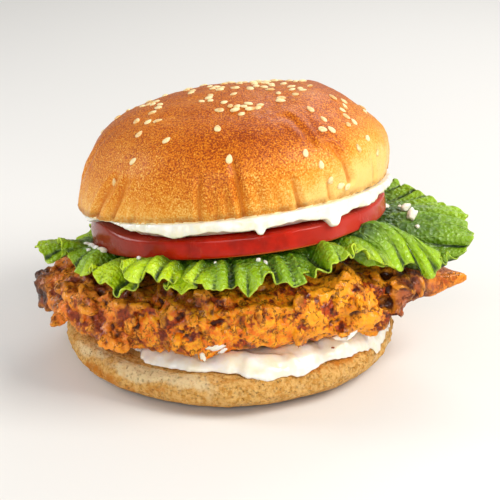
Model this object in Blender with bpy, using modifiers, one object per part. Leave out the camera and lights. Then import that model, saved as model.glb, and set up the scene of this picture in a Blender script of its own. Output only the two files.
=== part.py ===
"""A chicken burger in Blender: metres, +Z up, standing on the flat bottom of its bun.

A soft bun is cut in two. The fried fillet lies nearly level on the bottom half, on mayonnaise.
Lettuce, a slice of tomato, more mayonnaise and the top half of the bun lie on the fillet and
lean back and to one side together, as one tilted pile. Every piece is one closed body.
"""
import math

import bmesh
import bpy
from mathutils import Matrix, Vector, noise

MM = 0.001
GAP = 0.4 * MM                     # air between neighbouring pieces

# The pile's middle is this far left of the fillet's, and everything on it is measured from there.
BUN_X = -5.0 * MM

# Bottom half of the bun
HEEL_X = -7.5 * MM                 # its own middle, a little left of the pile's
HEEL_RADIUS = 57.4 * MM            # widest ring
HEEL_WIDEST = 7.5 * MM             # height of that ring
HEEL_CUT_RADIUS = 53.5 * MM        # the cut face starts here
HEEL_FOOT_RADIUS = 44.5 * MM       # flat part underneath
HEEL_THICKNESS = 14.0 * MM
HEEL_EDGE_DROP = 1.0 * MM          # how far the cut face falls away at its edge
HEEL_WAVE = 0.35 * MM              # unevenness of the cut face
HEEL_WAVE_RATE = 40.0              # how quickly that unevenness changes, per metre
HEEL_WOBBLE = (0.010, 0.006)       # how far from round it is, as shares of its radius

# Fillet
FILLET_CENTRE = (0.0, -2.0 * MM)
FILLET_FLOOR = 17.1 * MM           # height of its underside over the bun
FILLET_TOP = 37.5 * MM             # height of its upper side in the middle
FILLET_RISE = (0.05, -0.115)       # slope of the upper side along X and Y
FILLET_SAG = 3.5 * MM              # how far its left end hangs below that, past the bun
FILLET_SAG_START = 64.8 * MM       # the sag starts this far to the left
FILLET_SAG_RUN = 8.0 * MM          # and is complete this much further on
FILLET_CRAG = 1.9 * MM             # height of the batter's lumps
FILLET_CRAG_RATE = 95.0            # how closely the lumps follow each other, per metre
FILLET_RIM = 4.4                   # the higher, the later the upper side rounds off to the rim
FILLET_OUTLINE = (                 # direction in degrees, distance from its centre
    (0, 67.0 * MM), (10, 59.0 * MM), (28, 54.0 * MM), (55, 47.0 * MM), (90, 45.0 * MM),
    (125, 49.0 * MM), (152, 60.0 * MM), (170, 71.0 * MM), (184, 76.0 * MM), (198, 71.0 * MM),
    (220, 64.0 * MM), (245, 56.5 * MM), (270, 51.5 * MM), (295, 52.0 * MM), (320, 55.5 * MM),
    (336, 58.0 * MM), (344, 62.0 * MM), (352, 75.0 * MM))
FILLET_THINNING = (                # direction in degrees, share of the full thickness at the rim
    (0, 0.55), (12, 0.75), (35, 0.95), (180, 0.95), (334, 0.95), (344, 0.65), (352, 0.36))

# The tilted pile: the top half's cut face passes through this point at these slopes.
PILE_CENTRE = Vector((BUN_X, 0.0, 58.0 * MM))
LEAN_BACK = math.radians(10.0)
LEAN_LEFT = math.radians(6.5)

CROWN_RADIUS = 53.2 * MM
CROWN_WAIST = 12.0 * MM            # height of its widest ring above the cut face
CROWN_HEIGHT = 36.6 * MM
CROWN_TUCK = math.radians(17.0)    # how far under the widest ring the crust turns in
CROWN_SHOULDER = 0.96              # roundness of the dome: 1 is a half ellipse, less is squarer
CROWN_SLUMP = 4.4 * MM             # how far its left shoulder slopes in
CROWN_SLUMP_LOW = 0.35             # share of that slope already there at the lower edge
CROWN_DENT = 2.4 * MM              # how far its right shoulder is flattened
CROWN_PLEAT = 1.5 * MM             # depth of a pleat
CROWN_PLEAT_WIDTH = 3.2            # half width of a pleat in degrees
CROWN_PLEATS = (196, 206, 222, 258, 279, 296, 318, 20, 64, 112, 150)
CROWN_WOBBLE = (0.008, 0.006)      # how far from round it is, as shares of its radius

SAUCE_RADIUS = 50.5 * MM
SAUCE_THICKNESS = 4.8 * MM
SAUCE_WAVES = (1.1 * MM, 0.7 * MM)  # waves of its free edge
SAUCE_SQUARENESS = 0.30            # of its edge: 1 is a ball, less is squarer
TOMATO_RADIUS = 49.0 * MM
TOMATO_THICKNESS = 7.6 * MM
TOMATO_WOBBLE = (0.012, 0.008)
TOMATO_SQUARENESS = 0.25

# Lettuce
LEAF_THICKNESS = 1.3 * MM
LEAF_INNER = 6.0 * MM
LEAF_SHELF_SHARE = 0.46            # share of the rows of points that lie on the flat part
LEAF_SWAY = 0.55                   # how far a ruffle moves sideways for each step up or down
LEAF_SHELF = 45.0 * MM             # the leaf is pressed flat as far as this
LEAF_RUFFLE = 2.6 * MM
LEAF_END_FADE = 14.0               # degrees over which the ruffles die away at a leaf's two ends
FRONT_LEAF_SPAN = (120, 324)       # directions in degrees
FRONT_LEAF_EDGE = (
    (120, 53.0 * MM), (150, 55.0 * MM), (182, 66.0 * MM), (205, 65.5 * MM), (230, 62.0 * MM),
    (270, 60.0 * MM), (300, 59.0 * MM), (324, 58.0 * MM))
FRONT_LEAF_DROOP = (               # direction in degrees, height of the free edge
    (120, 33.0 * MM), (136, 33.5 * MM), (156, 34.0 * MM), (178, 35.0 * MM), (205, 39.5 * MM),
    (235, 44.0 * MM), (270, 48.0 * MM), (298, 47.6 * MM), (314, 45.0 * MM), (324, 44.5 * MM))
RIGHT_LEAF_SPAN = (-46, 130)
RIGHT_LEAF_EDGE = (
    (-46, 60.0 * MM), (-35, 64.0 * MM), (-18, 71.0 * MM), (0, 81.0 * MM), (14, 79.0 * MM),
    (30, 70.0 * MM), (55, 62.0 * MM), (90, 57.5 * MM), (130, 57.0 * MM))
RIGHT_LEAF_DROOP = (
    (-46, 51.0 * MM), (-35, 47.0 * MM), (-18, 38.0 * MM), (0, 40.0 * MM), (15, 43.5 * MM),
    (35, 44.5 * MM), (60, 44.0 * MM), (90, 43.0 * MM), (130, 43.5 * MM))
LEAF_TUCK = 3.8 * MM               # how far the front leaf passes under the right one

# Mayonnaise on the bottom half
SPREAD_THICKNESS = 1.9 * MM
SPREAD_SQUARENESS = 0.35
SPREAD_LOBES = (0.9 * MM, 0.6 * MM)  # waves of its free edge
SPREAD_OUTLINE = (
    (0, 52.5 * MM), (40, 49.0 * MM), (90, 49.0 * MM), (140, 49.5 * MM), (185, 48.5 * MM),
    (215, 50.0 * MM), (238, 54.0 * MM), (252, 53.0 * MM), (268, 54.0 * MM), (283, 55.0 * MM),
    (298, 53.5 * MM), (315, 53.5 * MM), (335, 53.5 * MM))

COLOURS = {                        # linear colour and roughness of each piece
    "bun_bottom": ((0.72, 0.50, 0.25), 0.75), "sauce_bottom": ((0.90, 0.85, 0.74), 0.25),
    "chicken": ((0.52, 0.20, 0.06), 0.45), "lettuce_front": ((0.16, 0.38, 0.03), 0.40),
    "lettuce_right": ((0.14, 0.34, 0.03), 0.40), "tomato": ((0.56, 0.03, 0.01), 0.20),
    "sauce_top": ((0.90, 0.85, 0.74), 0.25), "bun_top": ((0.55, 0.23, 0.06), 0.42)}


def clear_scene():
    for old in list(bpy.data.objects):
        bpy.data.objects.remove(old, do_unlink=True)


def burger_collection():
    collection = bpy.data.collections.new("chicken_burger")
    bpy.context.scene.collection.children.link(collection)
    return collection


def ease(share):
    """A smooth step from 0 to 1."""
    share = min(1.0, max(0.0, share))
    return share * share * (3.0 - 2.0 * share)


def around(pairs, degrees):
    """A value that changes smoothly between the stated directions, all the way round."""
    degrees %= 360.0
    stops = sorted((angle % 360.0, value) for angle, value in pairs)
    ring = [(stops[-1][0] - 360.0, stops[-1][1])] + stops + [(stops[0][0] + 360.0, stops[0][1])]
    for (low, low_value), (high, high_value) in zip(ring, ring[1:]):
        if low <= degrees <= high:
            return low_value + (high_value - low_value) * ease((degrees - low) / (high - low))
    return ring[0][1]


def along(pairs, degrees):
    """A value that changes smoothly between the stated directions, and is level past the ends."""
    if degrees <= pairs[0][0]:
        return pairs[0][1]
    for (low, low_value), (high, high_value) in zip(pairs, pairs[1:]):
        if degrees <= high:
            return low_value + (high_value - low_value) * ease((degrees - low) / (high - low))
    return pairs[-1][1]


def pile_frame():
    """The tilted pile's own axes: Z out of the cut face, origin in its middle."""
    turn = Matrix.Rotation(-LEAN_BACK, 4, "X") @ Matrix.Rotation(-LEAN_LEFT, 4, "Y")
    return Matrix.Translation(PILE_CENTRE) @ turn


def pile_height(x, y, depth):
    """World height of the plane that lies this far under the top half's cut face."""
    frame = pile_frame()
    normal = frame.col[2].xyz
    point = PILE_CENTRE - normal * depth
    return point.z - ((x - point.x) * normal.x + (y - point.y) * normal.y) / normal.z


def add_piece(name, mesh_builder, collection):
    """A named object from a bmesh, smooth shaded, in its own material."""
    mesh = bpy.data.meshes.new(name)
    mesh_builder.to_mesh(mesh)
    mesh_builder.free()
    mesh.shade_smooth()
    material = bpy.data.materials.new(name)
    material.use_nodes = True
    colour, roughness = COLOURS[name]
    shader = material.node_tree.nodes["Principled BSDF"]
    shader.inputs["Base Color"].default_value = (*colour, 1.0)
    shader.inputs["Roughness"].default_value = roughness
    shader.inputs["Metallic"].default_value = 0.0
    mesh.materials.append(material)
    piece = bpy.data.objects.new(name, mesh)
    collection.objects.link(piece)
    return piece


def mould(name, segments, rings, place, collection):
    """Model a piece from a sphere: place(direction in radians, share of the way from pole to pole)."""
    builder = bmesh.new()
    bmesh.ops.create_uvsphere(builder, u_segments=segments, v_segments=rings, radius=1.0)
    for vertex in builder.verts:
        direction = math.atan2(vertex.co.y, vertex.co.x)
        share = 0.5 + math.asin(max(-1.0, min(1.0, vertex.co.z))) / math.pi
        vertex.co = place(direction, share)
    return add_piece(name, builder, collection)


def heel_top(x, y):
    """Height of the bottom half's cut face, which falls away at its edge."""
    reach = math.hypot(x - HEEL_X, y) / HEEL_RADIUS
    wave = HEEL_WAVE * noise.noise(Vector((x, y, 0.0)) * HEEL_WAVE_RATE)
    return HEEL_THICKNESS + wave - HEEL_EDGE_DROP * ease((reach - 0.72) / 0.21)


def heel_point(direction, share):
    """Flat foot, a side that swells to its widest ring and rounds in again, and the cut face."""
    foot_share, swell_share, face_share = 0.22, 0.52, 0.74
    rim_height = HEEL_THICKNESS - HEEL_EDGE_DROP
    height = 0.0
    if share <= foot_share:
        radius = HEEL_FOOT_RADIUS * share / foot_share
    elif share <= swell_share:
        turn = (share - foot_share) / (swell_share - foot_share)
        radius = HEEL_FOOT_RADIUS + (HEEL_RADIUS - HEEL_FOOT_RADIUS) * math.sin(turn * math.pi / 2)
        height = HEEL_WIDEST * turn ** 1.4
    elif share <= face_share:
        angle = (share - swell_share) / (face_share - swell_share) * math.pi / 2
        radius = HEEL_CUT_RADIUS + (HEEL_RADIUS - HEEL_CUT_RADIUS) * math.cos(angle)
        height = HEEL_WIDEST + (rim_height - HEEL_WIDEST) * math.sin(angle)
    else:
        radius = HEEL_CUT_RADIUS * math.cos((share - face_share) / (1.0 - face_share) * math.pi / 2)
    radius *= 1.0 + HEEL_WOBBLE[0] * math.sin(3 * direction + 0.6) + HEEL_WOBBLE[1] * math.sin(7 * direction)
    x = HEEL_X + radius * math.cos(direction)
    y = radius * math.sin(direction)
    if share > face_share:
        height = heel_top(x, y)
    elif share > swell_share:
        blend = ease((share - swell_share) / (face_share - swell_share))
        height += (heel_top(x, y) - rim_height) * blend
    return Vector((x, y, height))


def fillet_reach(x, y):
    """How far out a point is, as a share of the fillet's outline, and its direction in degrees."""
    away_x = x - FILLET_CENTRE[0]
    away_y = y - FILLET_CENTRE[1]
    degrees = math.degrees(math.atan2(away_y, away_x))
    return math.hypot(away_x, away_y) / around(FILLET_OUTLINE, degrees), degrees


def fillet_levels(x, y):
    """Middle height and half thickness of the fillet at a point, before its edge is rounded."""
    reach, degrees = fillet_reach(x, y)
    top = FILLET_TOP + FILLET_RISE[0] * x + FILLET_RISE[1] * y
    thin = 1.0 - (1.0 - around(FILLET_THINNING, degrees)) * ease((reach - 0.45) / 0.5)
    floor = FILLET_FLOOR - FILLET_SAG * ease((-x - FILLET_SAG_START) / FILLET_SAG_RUN)
    half = 0.5 * (top - floor) * thin
    middle = 0.5 * (top + floor)
    return middle, half


def fillet_surface(x, y):
    """Height of the fillet's upper surface, without its lumps."""
    reach, _ = fillet_reach(x, y)
    middle, half = fillet_levels(x, y)
    if reach >= 1.0:
        return middle
    return middle + half * (1.0 - reach ** FILLET_RIM) ** 0.3


def fillet_point(direction, share):
    """A craggy flattened body: full sides, lumps of batter, a thin tip at the right."""
    latitude = (share - 0.5) * math.pi
    degrees = math.degrees(direction)
    reach = max(0.0, math.cos(latitude)) ** 0.45
    radius = around(FILLET_OUTLINE, degrees) * reach
    x = FILLET_CENTRE[0] + radius * math.cos(direction)
    y = FILLET_CENTRE[1] + radius * math.sin(direction)
    middle, half = fillet_levels(x, y)
    sine = math.sin(latitude)
    z = middle + (sine ** 0.6 if sine > 0.0 else -abs(sine) ** 0.3) * half
    lump = noise.fractal(Vector((x, y, z)) * FILLET_CRAG_RATE, 0.8, 2.0, 3) * FILLET_CRAG
    open_side = ease((reach - 0.80) / 0.2)
    bulge = lump * open_side
    return Vector((x + bulge * math.cos(direction), y + bulge * math.sin(direction), z + 0.4 * bulge))


def spread_point(direction, share):
    """Mayonnaise pressed out over the bottom half, plumper where it shows past the fillet."""
    latitude = (share - 0.5) * math.pi
    degrees = math.degrees(direction)
    reach = max(0.0, math.cos(latitude)) ** SPREAD_SQUARENESS
    lobes = SPREAD_LOBES[0] * math.sin(11 * direction) + SPREAD_LOBES[1] * math.sin(17 * direction + 1.0)
    radius = (around(SPREAD_OUTLINE, degrees) + lobes) * reach
    x = BUN_X + radius * math.cos(direction)
    y = radius * math.sin(direction)
    floor = heel_top(x, y) + GAP
    sine = math.sin(latitude)
    plump = abs(sine) ** 0.5 if sine > 0 else 0.0
    rise = SPREAD_THICKNESS * (0.25 + 0.75 * plump) if sine > 0 else 0.25 * SPREAD_THICKNESS * reach ** 8
    return Vector((x, y, floor + rise))


def pile_disc_point(direction, share, radius, thickness, depth, squareness):
    """A round slice in the tilted pile, with its top this far under the cut face."""
    latitude = (share - 0.5) * math.pi
    across = radius * max(0.0, math.cos(latitude)) ** squareness
    sine = math.sin(latitude)
    height = math.copysign(abs(sine) ** (squareness * 1.4), sine) * thickness / 2
    local = Vector((across * math.cos(direction), across * math.sin(direction), 0.0))
    local.z = height - depth - thickness / 2
    return pile_frame() @ local


def sauce_top_point(direction, share):
    """Mayonnaise under the top half, with a wavy free edge."""
    wave = SAUCE_WAVES[0] * math.sin(9 * direction + 0.5) + SAUCE_WAVES[1] * math.sin(14 * direction)
    radius = SAUCE_RADIUS + wave
    return pile_disc_point(direction, share, radius, SAUCE_THICKNESS, GAP, SAUCE_SQUARENESS)


def tomato_point(direction, share):
    """A thick slice of tomato, not quite round."""
    wobble = TOMATO_WOBBLE[0] * math.sin(2 * direction + 1.0) + TOMATO_WOBBLE[1] * math.sin(5 * direction)
    radius = TOMATO_RADIUS * (1.0 + wobble)
    depth = SAUCE_THICKNESS + 2 * GAP
    return pile_disc_point(direction, share, radius, TOMATO_THICKNESS, depth, TOMATO_SQUARENESS)


def crown_profile(share):
    """Distance from the axis and height above the cut face, from the cut face's middle to the top."""
    face_share = 0.26
    edge_radius = CROWN_RADIUS * math.cos(CROWN_TUCK)
    if share <= face_share:
        return edge_radius * share / face_share, 0.0
    turn = (share - face_share) / (1.0 - face_share)
    angle = -CROWN_TUCK + (math.pi / 2 + CROWN_TUCK) * turn
    if angle < 0.0:
        return CROWN_RADIUS * math.cos(angle), CROWN_WAIST * (1.0 + math.sin(angle) / math.sin(CROWN_TUCK))
    radius = CROWN_RADIUS * max(0.0, math.cos(angle)) ** CROWN_SHOULDER
    height = CROWN_WAIST + (CROWN_HEIGHT - CROWN_WAIST) * math.sin(angle) ** CROWN_SHOULDER
    return radius, height


def crown_shoulders(direction, height):
    """How far the two shoulders slope in from the even dome: a slump at the left, a dent at the right."""
    left_side = max(0.0, -math.cos(direction)) ** 2
    right_side = max(0.0, math.cos(direction)) ** 2
    slope = CROWN_SLUMP_LOW + (1.0 - CROWN_SLUMP_LOW) * ease((height - 2.0 * MM) / (18.0 * MM))
    flat = math.exp(-((height - 0.66 * CROWN_HEIGHT) / (0.30 * CROWN_HEIGHT)) ** 2)
    return CROWN_SLUMP * left_side * slope + CROWN_DENT * right_side * flat


def crown_pleats(direction, height):
    """How deep the pleats are that climb from the lower edge."""
    low = 1.0 - ease((height - 4.0 * MM) / (20.0 * MM))
    fold = 0.0
    for pleat in CROWN_PLEATS:
        away = (math.degrees(direction) - pleat + 180.0) % 360.0 - 180.0
        fold += math.exp(-(away / CROWN_PLEAT_WIDTH) ** 2)
    return CROWN_PLEAT * fold * low


def crown_point(direction, share):
    """The domed top half, with sloping shoulders and soft pleats."""
    radius, height = crown_profile(share)
    reach = radius / CROWN_RADIUS
    wobble = CROWN_WOBBLE[0] * math.sin(2 * direction + 0.8) + CROWN_WOBBLE[1] * math.sin(3 * direction)
    radius *= 1.0 + wobble
    radius -= crown_pleats(direction, height) * reach ** 6
    radius -= crown_shoulders(direction, height) * reach
    local = Vector((radius * math.cos(direction), radius * math.sin(direction), height))
    return pile_frame() @ local


def leaf_clearance(x, y, height, thickness):
    """Lift a leaf's height where the fillet would otherwise touch it."""
    reach, _ = fillet_reach(x, y)
    if reach > 1.08:
        return height
    lumps = FILLET_CRAG * 0.4 * ease((reach - 0.7) / 0.3)
    return max(height, fillet_surface(x, y) + lumps + thickness / 2 + GAP)


def front_leaf_seat(x, y, degrees):
    """The front leaf lies on the fillet in the middle and is pinched under the tomato at its rim."""
    distance = math.hypot(x - BUN_X, y)
    depth = SAUCE_THICKNESS + TOMATO_THICKNESS + 3 * GAP
    under_tomato = pile_height(x, y, depth) - LEAF_THICKNESS / 2 - GAP
    tucked = LEAF_TUCK * max(ease((degrees - 296.0) / 14.0), ease((146.0 - degrees) / 12.0))
    on_fillet = fillet_surface(x, y) + LEAF_THICKNESS / 2 + 2 * GAP
    rise = ease((distance - 24.0 * MM) / (20.0 * MM))
    return on_fillet + (under_tomato - tucked - on_fillet) * rise


def right_leaf_seat(x, y, degrees):
    """The right leaf lies flat under the tomato, over the front leaf."""
    depth = SAUCE_THICKNESS + TOMATO_THICKNESS + 3 * GAP
    return pile_height(x, y, depth) - LEAF_THICKNESS / 2 - GAP


def lettuce_leaf(name, span, edge, droop, seat, columns, rows, waves, collection):
    """A frilled sheet in polar directions: a flat part, then a free margin that ruffles and droops."""
    builder = bmesh.new()
    bmesh.ops.create_grid(builder, x_segments=columns, y_segments=rows, size=1.0)
    for vertex in builder.verts:
        degrees = span[0] + (span[1] - span[0]) * (vertex.co.x + 1.0) / 2
        share = (vertex.co.y + 1.0) / 2
        direction = math.radians(degrees)
        free = max(0.0, (share - LEAF_SHELF_SHARE) / (1.0 - LEAF_SHELF_SHARE))
        shelf = Vector((BUN_X + LEAF_SHELF * math.cos(direction), LEAF_SHELF * math.sin(direction)))
        phase = direction * waves + 0.9 * math.sin(direction * 3.0)
        ends = min(ease((degrees - span[0]) / LEAF_END_FADE), ease((span[1] - degrees) / LEAF_END_FADE))
        curl = LEAF_RUFFLE * (0.25 + 0.75 * ends) * free ** 1.2
        if free <= 0.0:
            radius = LEAF_INNER + (LEAF_SHELF - LEAF_INNER) * share / LEAF_SHELF_SHARE
        else:
            radius = LEAF_SHELF + (along(edge, degrees) - LEAF_SHELF) * free
            radius += LEAF_SWAY * curl * math.cos(phase)
        x = BUN_X + radius * math.cos(direction)
        y = radius * math.sin(direction)
        if free <= 0.0:
            z = seat(x, y, degrees)
        else:
            shelf_height = seat(shelf.x, shelf.y, degrees)
            z = shelf_height + (along(droop, degrees) - shelf_height) * free ** 1.5
            z += curl * math.sin(phase)
        vertex.co = Vector((x, y, leaf_clearance(x, y, z, LEAF_THICKNESS)))
    bmesh.ops.recalc_face_normals(builder, faces=builder.faces)
    leaf = add_piece(name, builder, collection)
    skin = leaf.modifiers.new("thickness", "SOLIDIFY")
    skin.thickness = LEAF_THICKNESS
    skin.offset = 0.0
    return leaf


def centre_on_box(pieces):
    """Move every piece together so that the box round the burger stands centred on the origin."""
    bpy.context.view_layer.update()
    graph = bpy.context.evaluated_depsgraph_get()
    points = [piece.evaluated_get(graph).matrix_world @ Vector(corner)
              for piece in pieces for corner in piece.evaluated_get(graph).bound_box]
    low = [min(point[axis] for point in points) for axis in range(3)]
    high = [max(point[axis] for point in points) for axis in range(3)]
    shift = Vector((-(low[0] + high[0]) / 2, -(low[1] + high[1]) / 2, -low[2]))
    for piece in pieces:
        piece.data.transform(Matrix.Translation(shift))


def main():
    clear_scene()
    burger = burger_collection()
    pieces = [
        mould("bun_bottom", 48, 11, heel_point, burger),
        mould("sauce_bottom", 48, 7, spread_point, burger),
        mould("chicken", 60, 15, fillet_point, burger),
        lettuce_leaf("lettuce_front", FRONT_LEAF_SPAN, FRONT_LEAF_EDGE, FRONT_LEAF_DROOP,
                     front_leaf_seat, 72, 6, 15.0, burger),
        lettuce_leaf("lettuce_right", RIGHT_LEAF_SPAN, RIGHT_LEAF_EDGE, RIGHT_LEAF_DROOP,
                     right_leaf_seat, 54, 7, 13.0, burger),
        mould("tomato", 44, 8, tomato_point, burger),
        mould("sauce_top", 48, 7, sauce_top_point, burger),
        mould("bun_top", 48, 15, crown_point, burger)]
    centre_on_box(pieces)


main()
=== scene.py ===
import math
import random

import bmesh
import bpy
import numpy as np
from mathutils import Matrix, Vector, noise
from mathutils.bvhtree import BVHTree


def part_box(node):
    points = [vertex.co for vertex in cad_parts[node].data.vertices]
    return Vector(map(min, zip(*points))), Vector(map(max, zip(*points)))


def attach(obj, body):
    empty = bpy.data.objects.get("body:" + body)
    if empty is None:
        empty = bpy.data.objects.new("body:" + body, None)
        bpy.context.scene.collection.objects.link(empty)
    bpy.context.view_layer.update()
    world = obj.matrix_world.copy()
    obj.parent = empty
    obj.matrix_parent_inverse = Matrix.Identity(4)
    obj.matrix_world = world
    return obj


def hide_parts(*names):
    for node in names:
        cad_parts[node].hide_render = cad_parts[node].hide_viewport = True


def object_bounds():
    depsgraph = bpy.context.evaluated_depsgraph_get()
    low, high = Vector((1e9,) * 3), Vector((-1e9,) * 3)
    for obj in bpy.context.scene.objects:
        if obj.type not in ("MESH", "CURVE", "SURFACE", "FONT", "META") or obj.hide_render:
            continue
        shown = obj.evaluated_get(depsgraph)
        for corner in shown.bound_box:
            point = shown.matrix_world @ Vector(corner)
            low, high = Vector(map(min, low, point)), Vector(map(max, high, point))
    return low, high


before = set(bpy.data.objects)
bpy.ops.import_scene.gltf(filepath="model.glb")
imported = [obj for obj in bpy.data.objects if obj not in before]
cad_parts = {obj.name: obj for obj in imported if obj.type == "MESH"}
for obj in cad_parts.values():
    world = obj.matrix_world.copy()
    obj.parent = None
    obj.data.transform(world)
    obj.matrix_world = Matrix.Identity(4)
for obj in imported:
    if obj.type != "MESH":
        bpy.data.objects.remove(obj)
cad_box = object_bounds()
MM = 0.001


# ---------------------------------------------------------------- Camera, light and floor
# A plain studio table, lit from a broad window at the right and a softer one at the left.
# The camera looks down a little, from far enough away that the burger isn't drawn out of shape.
def paint(red, green, blue):
    """A colour given as 0 to 255 display values, as the shader wants it."""
    def linear(value):
        value /= 255.0
        return value / 12.92 if value <= 0.04045 else ((value + 0.055) / 1.055) ** 2.4
    return (linear(red), linear(green), linear(blue), 1.0)


def aim_at(thing, target):
    """Turn a camera or lamp to look at a point."""
    thing.rotation_euler = (Vector(target) - thing.location).to_track_quat("-Z", "Y").to_euler()


def softbox(name, place, target, size, watts, colour):
    """A square studio lamp."""
    lamp = bpy.data.lights.new(name, "AREA")
    lamp.shape = "RECTANGLE"
    lamp.size, lamp.size_y = size
    lamp.energy = watts
    lamp.color = colour
    holder = bpy.data.objects.new(name, lamp)
    bpy.context.scene.collection.objects.link(holder)
    holder.location = Vector(place)
    aim_at(holder, target)
    return holder


CAMERA_PITCH = math.radians(22.5)
CAMERA_DISTANCE = 0.635
CAMERA_LENS = 131.8                   # millimetres, on a sensor 36 mm wide

_, high_corner = (Vector(corner) for corner in cad_box)
look_at = Vector((-1.0 * MM, 0.0, 0.372 * high_corner.z))
camera = bpy.data.cameras.new("camera")
camera.lens = CAMERA_LENS
camera.sensor_width = 36.0
camera_holder = bpy.data.objects.new("camera", camera)
bpy.context.scene.collection.objects.link(camera_holder)
camera_way = Vector((0.0, -math.cos(CAMERA_PITCH), math.sin(CAMERA_PITCH)))
camera_holder.location = look_at + CAMERA_DISTANCE * camera_way
aim_at(camera_holder, look_at)
bpy.context.scene.camera = camera_holder
bpy.context.scene.view_settings.view_transform = "Standard"

softbox("window_right", (0.42, -0.16, 0.46), (0.0, 0.0, 0.05), (0.34, 0.34), 3.3, (1.0, 0.97, 0.93))
softbox("window_left", (-0.50, 0.05, 0.26), (0.0, 0.0, 0.05), (0.16, 0.30), 1.1, (0.95, 0.97, 1.0))
softbox("front_fill", (-0.10, -0.70, 0.34), (0.0, 0.0, 0.04), (0.50, 0.30), 2.0, (1.0, 0.99, 0.97))
softbox("back_rim", (0.20, 0.50, 0.42), (0.0, 0.0, 0.06), (0.40, 0.20), 1.2, (1.0, 1.0, 1.0))

world = bpy.data.worlds.new("studio")
world.use_nodes = True
world.node_tree.nodes["Background"].inputs["Color"].default_value = (1.0, 1.0, 1.0, 1.0)
world.node_tree.nodes["Background"].inputs["Strength"].default_value = 0.34
bpy.context.scene.world = world

floor_mesh = bpy.data.meshes.new("studio_floor")
floor_builder = bmesh.new()
bmesh.ops.create_grid(floor_builder, x_segments=1, y_segments=1, size=4.0)
floor_builder.to_mesh(floor_mesh)
floor_builder.free()
floor = bpy.data.objects.new("studio_floor", floor_mesh)
bpy.context.scene.collection.objects.link(floor)
floor_paint = bpy.data.materials.new("floor_paint")
floor_paint.use_nodes = True
floor_shader = floor_paint.node_tree.nodes["Principled BSDF"]
floor_shader.inputs["Base Color"].default_value = paint(236, 234, 230)
floor_shader.inputs["Roughness"].default_value = 0.85
floor_mesh.materials.append(floor_paint)


# ---------------------------------------------------------------- Bottom half of the bun
# The bottom half of a soft wheat bun, baked in one piece and cut with a knife. Its side is
# pale open crumb with toasted patches, and a thin brown crust line runs round its foot.
def ease(share):
    """A smooth step from 0 to 1."""
    share = min(1.0, max(0.0, share))
    return share * share * (3.0 - 2.0 * share)


def around(pairs, degrees):
    """A value that changes smoothly between the stated directions, all the way round."""
    degrees %= 360.0
    ring = sorted((angle % 360.0, value) for angle, value in pairs)
    ring = [(ring[-1][0] - 360.0, ring[-1][1])] + ring + [(ring[0][0] + 360.0, ring[0][1])]
    for (low, low_value), (high, high_value) in zip(ring, ring[1:]):
        if low <= degrees <= high:
            return low_value + (high_value - low_value) * ease((degrees - low) / (high - low))
    return ring[0][1]


def bump_at(value, middle, width):
    """A bell shape, 1 at the middle."""
    return math.exp(-((value - middle) / width) ** 2)


def turn_between(first, second):
    """Degrees from one direction to another, the short way."""
    return (first - second + 180.0) % 360.0 - 180.0


def rough(point, size, octaves=3):
    """Uneven noise about 0, with lumps of about this size."""
    return noise.fractal(point / size, 0.7, 2.0, octaves)


def new_object(name, mesh, material):
    """Put a finished mesh in the scene, smooth shaded, in its material."""
    mesh.shade_smooth()
    mesh.materials.clear()
    mesh.materials.append(material)
    piece = bpy.data.objects.new(name, mesh)
    bpy.context.scene.collection.objects.link(piece)
    return piece


def mould(name, segments, rings, place):
    """A closed mesh of rings between two poles: place(direction in radians, share of the way up)."""
    points = [place(0.0, 0.0)]
    for ring in range(1, rings):
        points += [place(2 * math.pi * step / segments, ring / rings) for step in range(segments)]
    points.append(place(0.0, 1.0))
    last = len(points) - 1
    faces = []
    for step in range(segments):
        following = (step + 1) % segments
        faces.append((0, 1 + following, 1 + step))
        for ring in range(rings - 2):
            low, high = 1 + ring * segments, 1 + (ring + 1) * segments
            faces.append((low + step, low + following, high + following, high + step))
        top = 1 + (rings - 2) * segments
        faces.append((top + step, top + following, last))
    mesh = bpy.data.meshes.new(name)
    mesh.from_pydata(points, [], faces)
    return mesh


def points_of(mesh):
    """All points of a mesh as rows of numbers."""
    places = np.empty(len(mesh.vertices) * 3, np.float64)
    mesh.vertices.foreach_get("co", places)
    return places.reshape(-1, 3)


def store(mesh, name, values):
    """Keep one number per point for the material to read."""
    attribute = mesh.attributes.new(name, "FLOAT", "POINT")
    attribute.data.foreach_set("value", np.asarray(values, np.float32).ravel())


def stand_for(piece, node):
    """The piece rides on the one body and stands in for a CAD node, which it hides."""
    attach(piece, "root")
    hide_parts(node)


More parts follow.
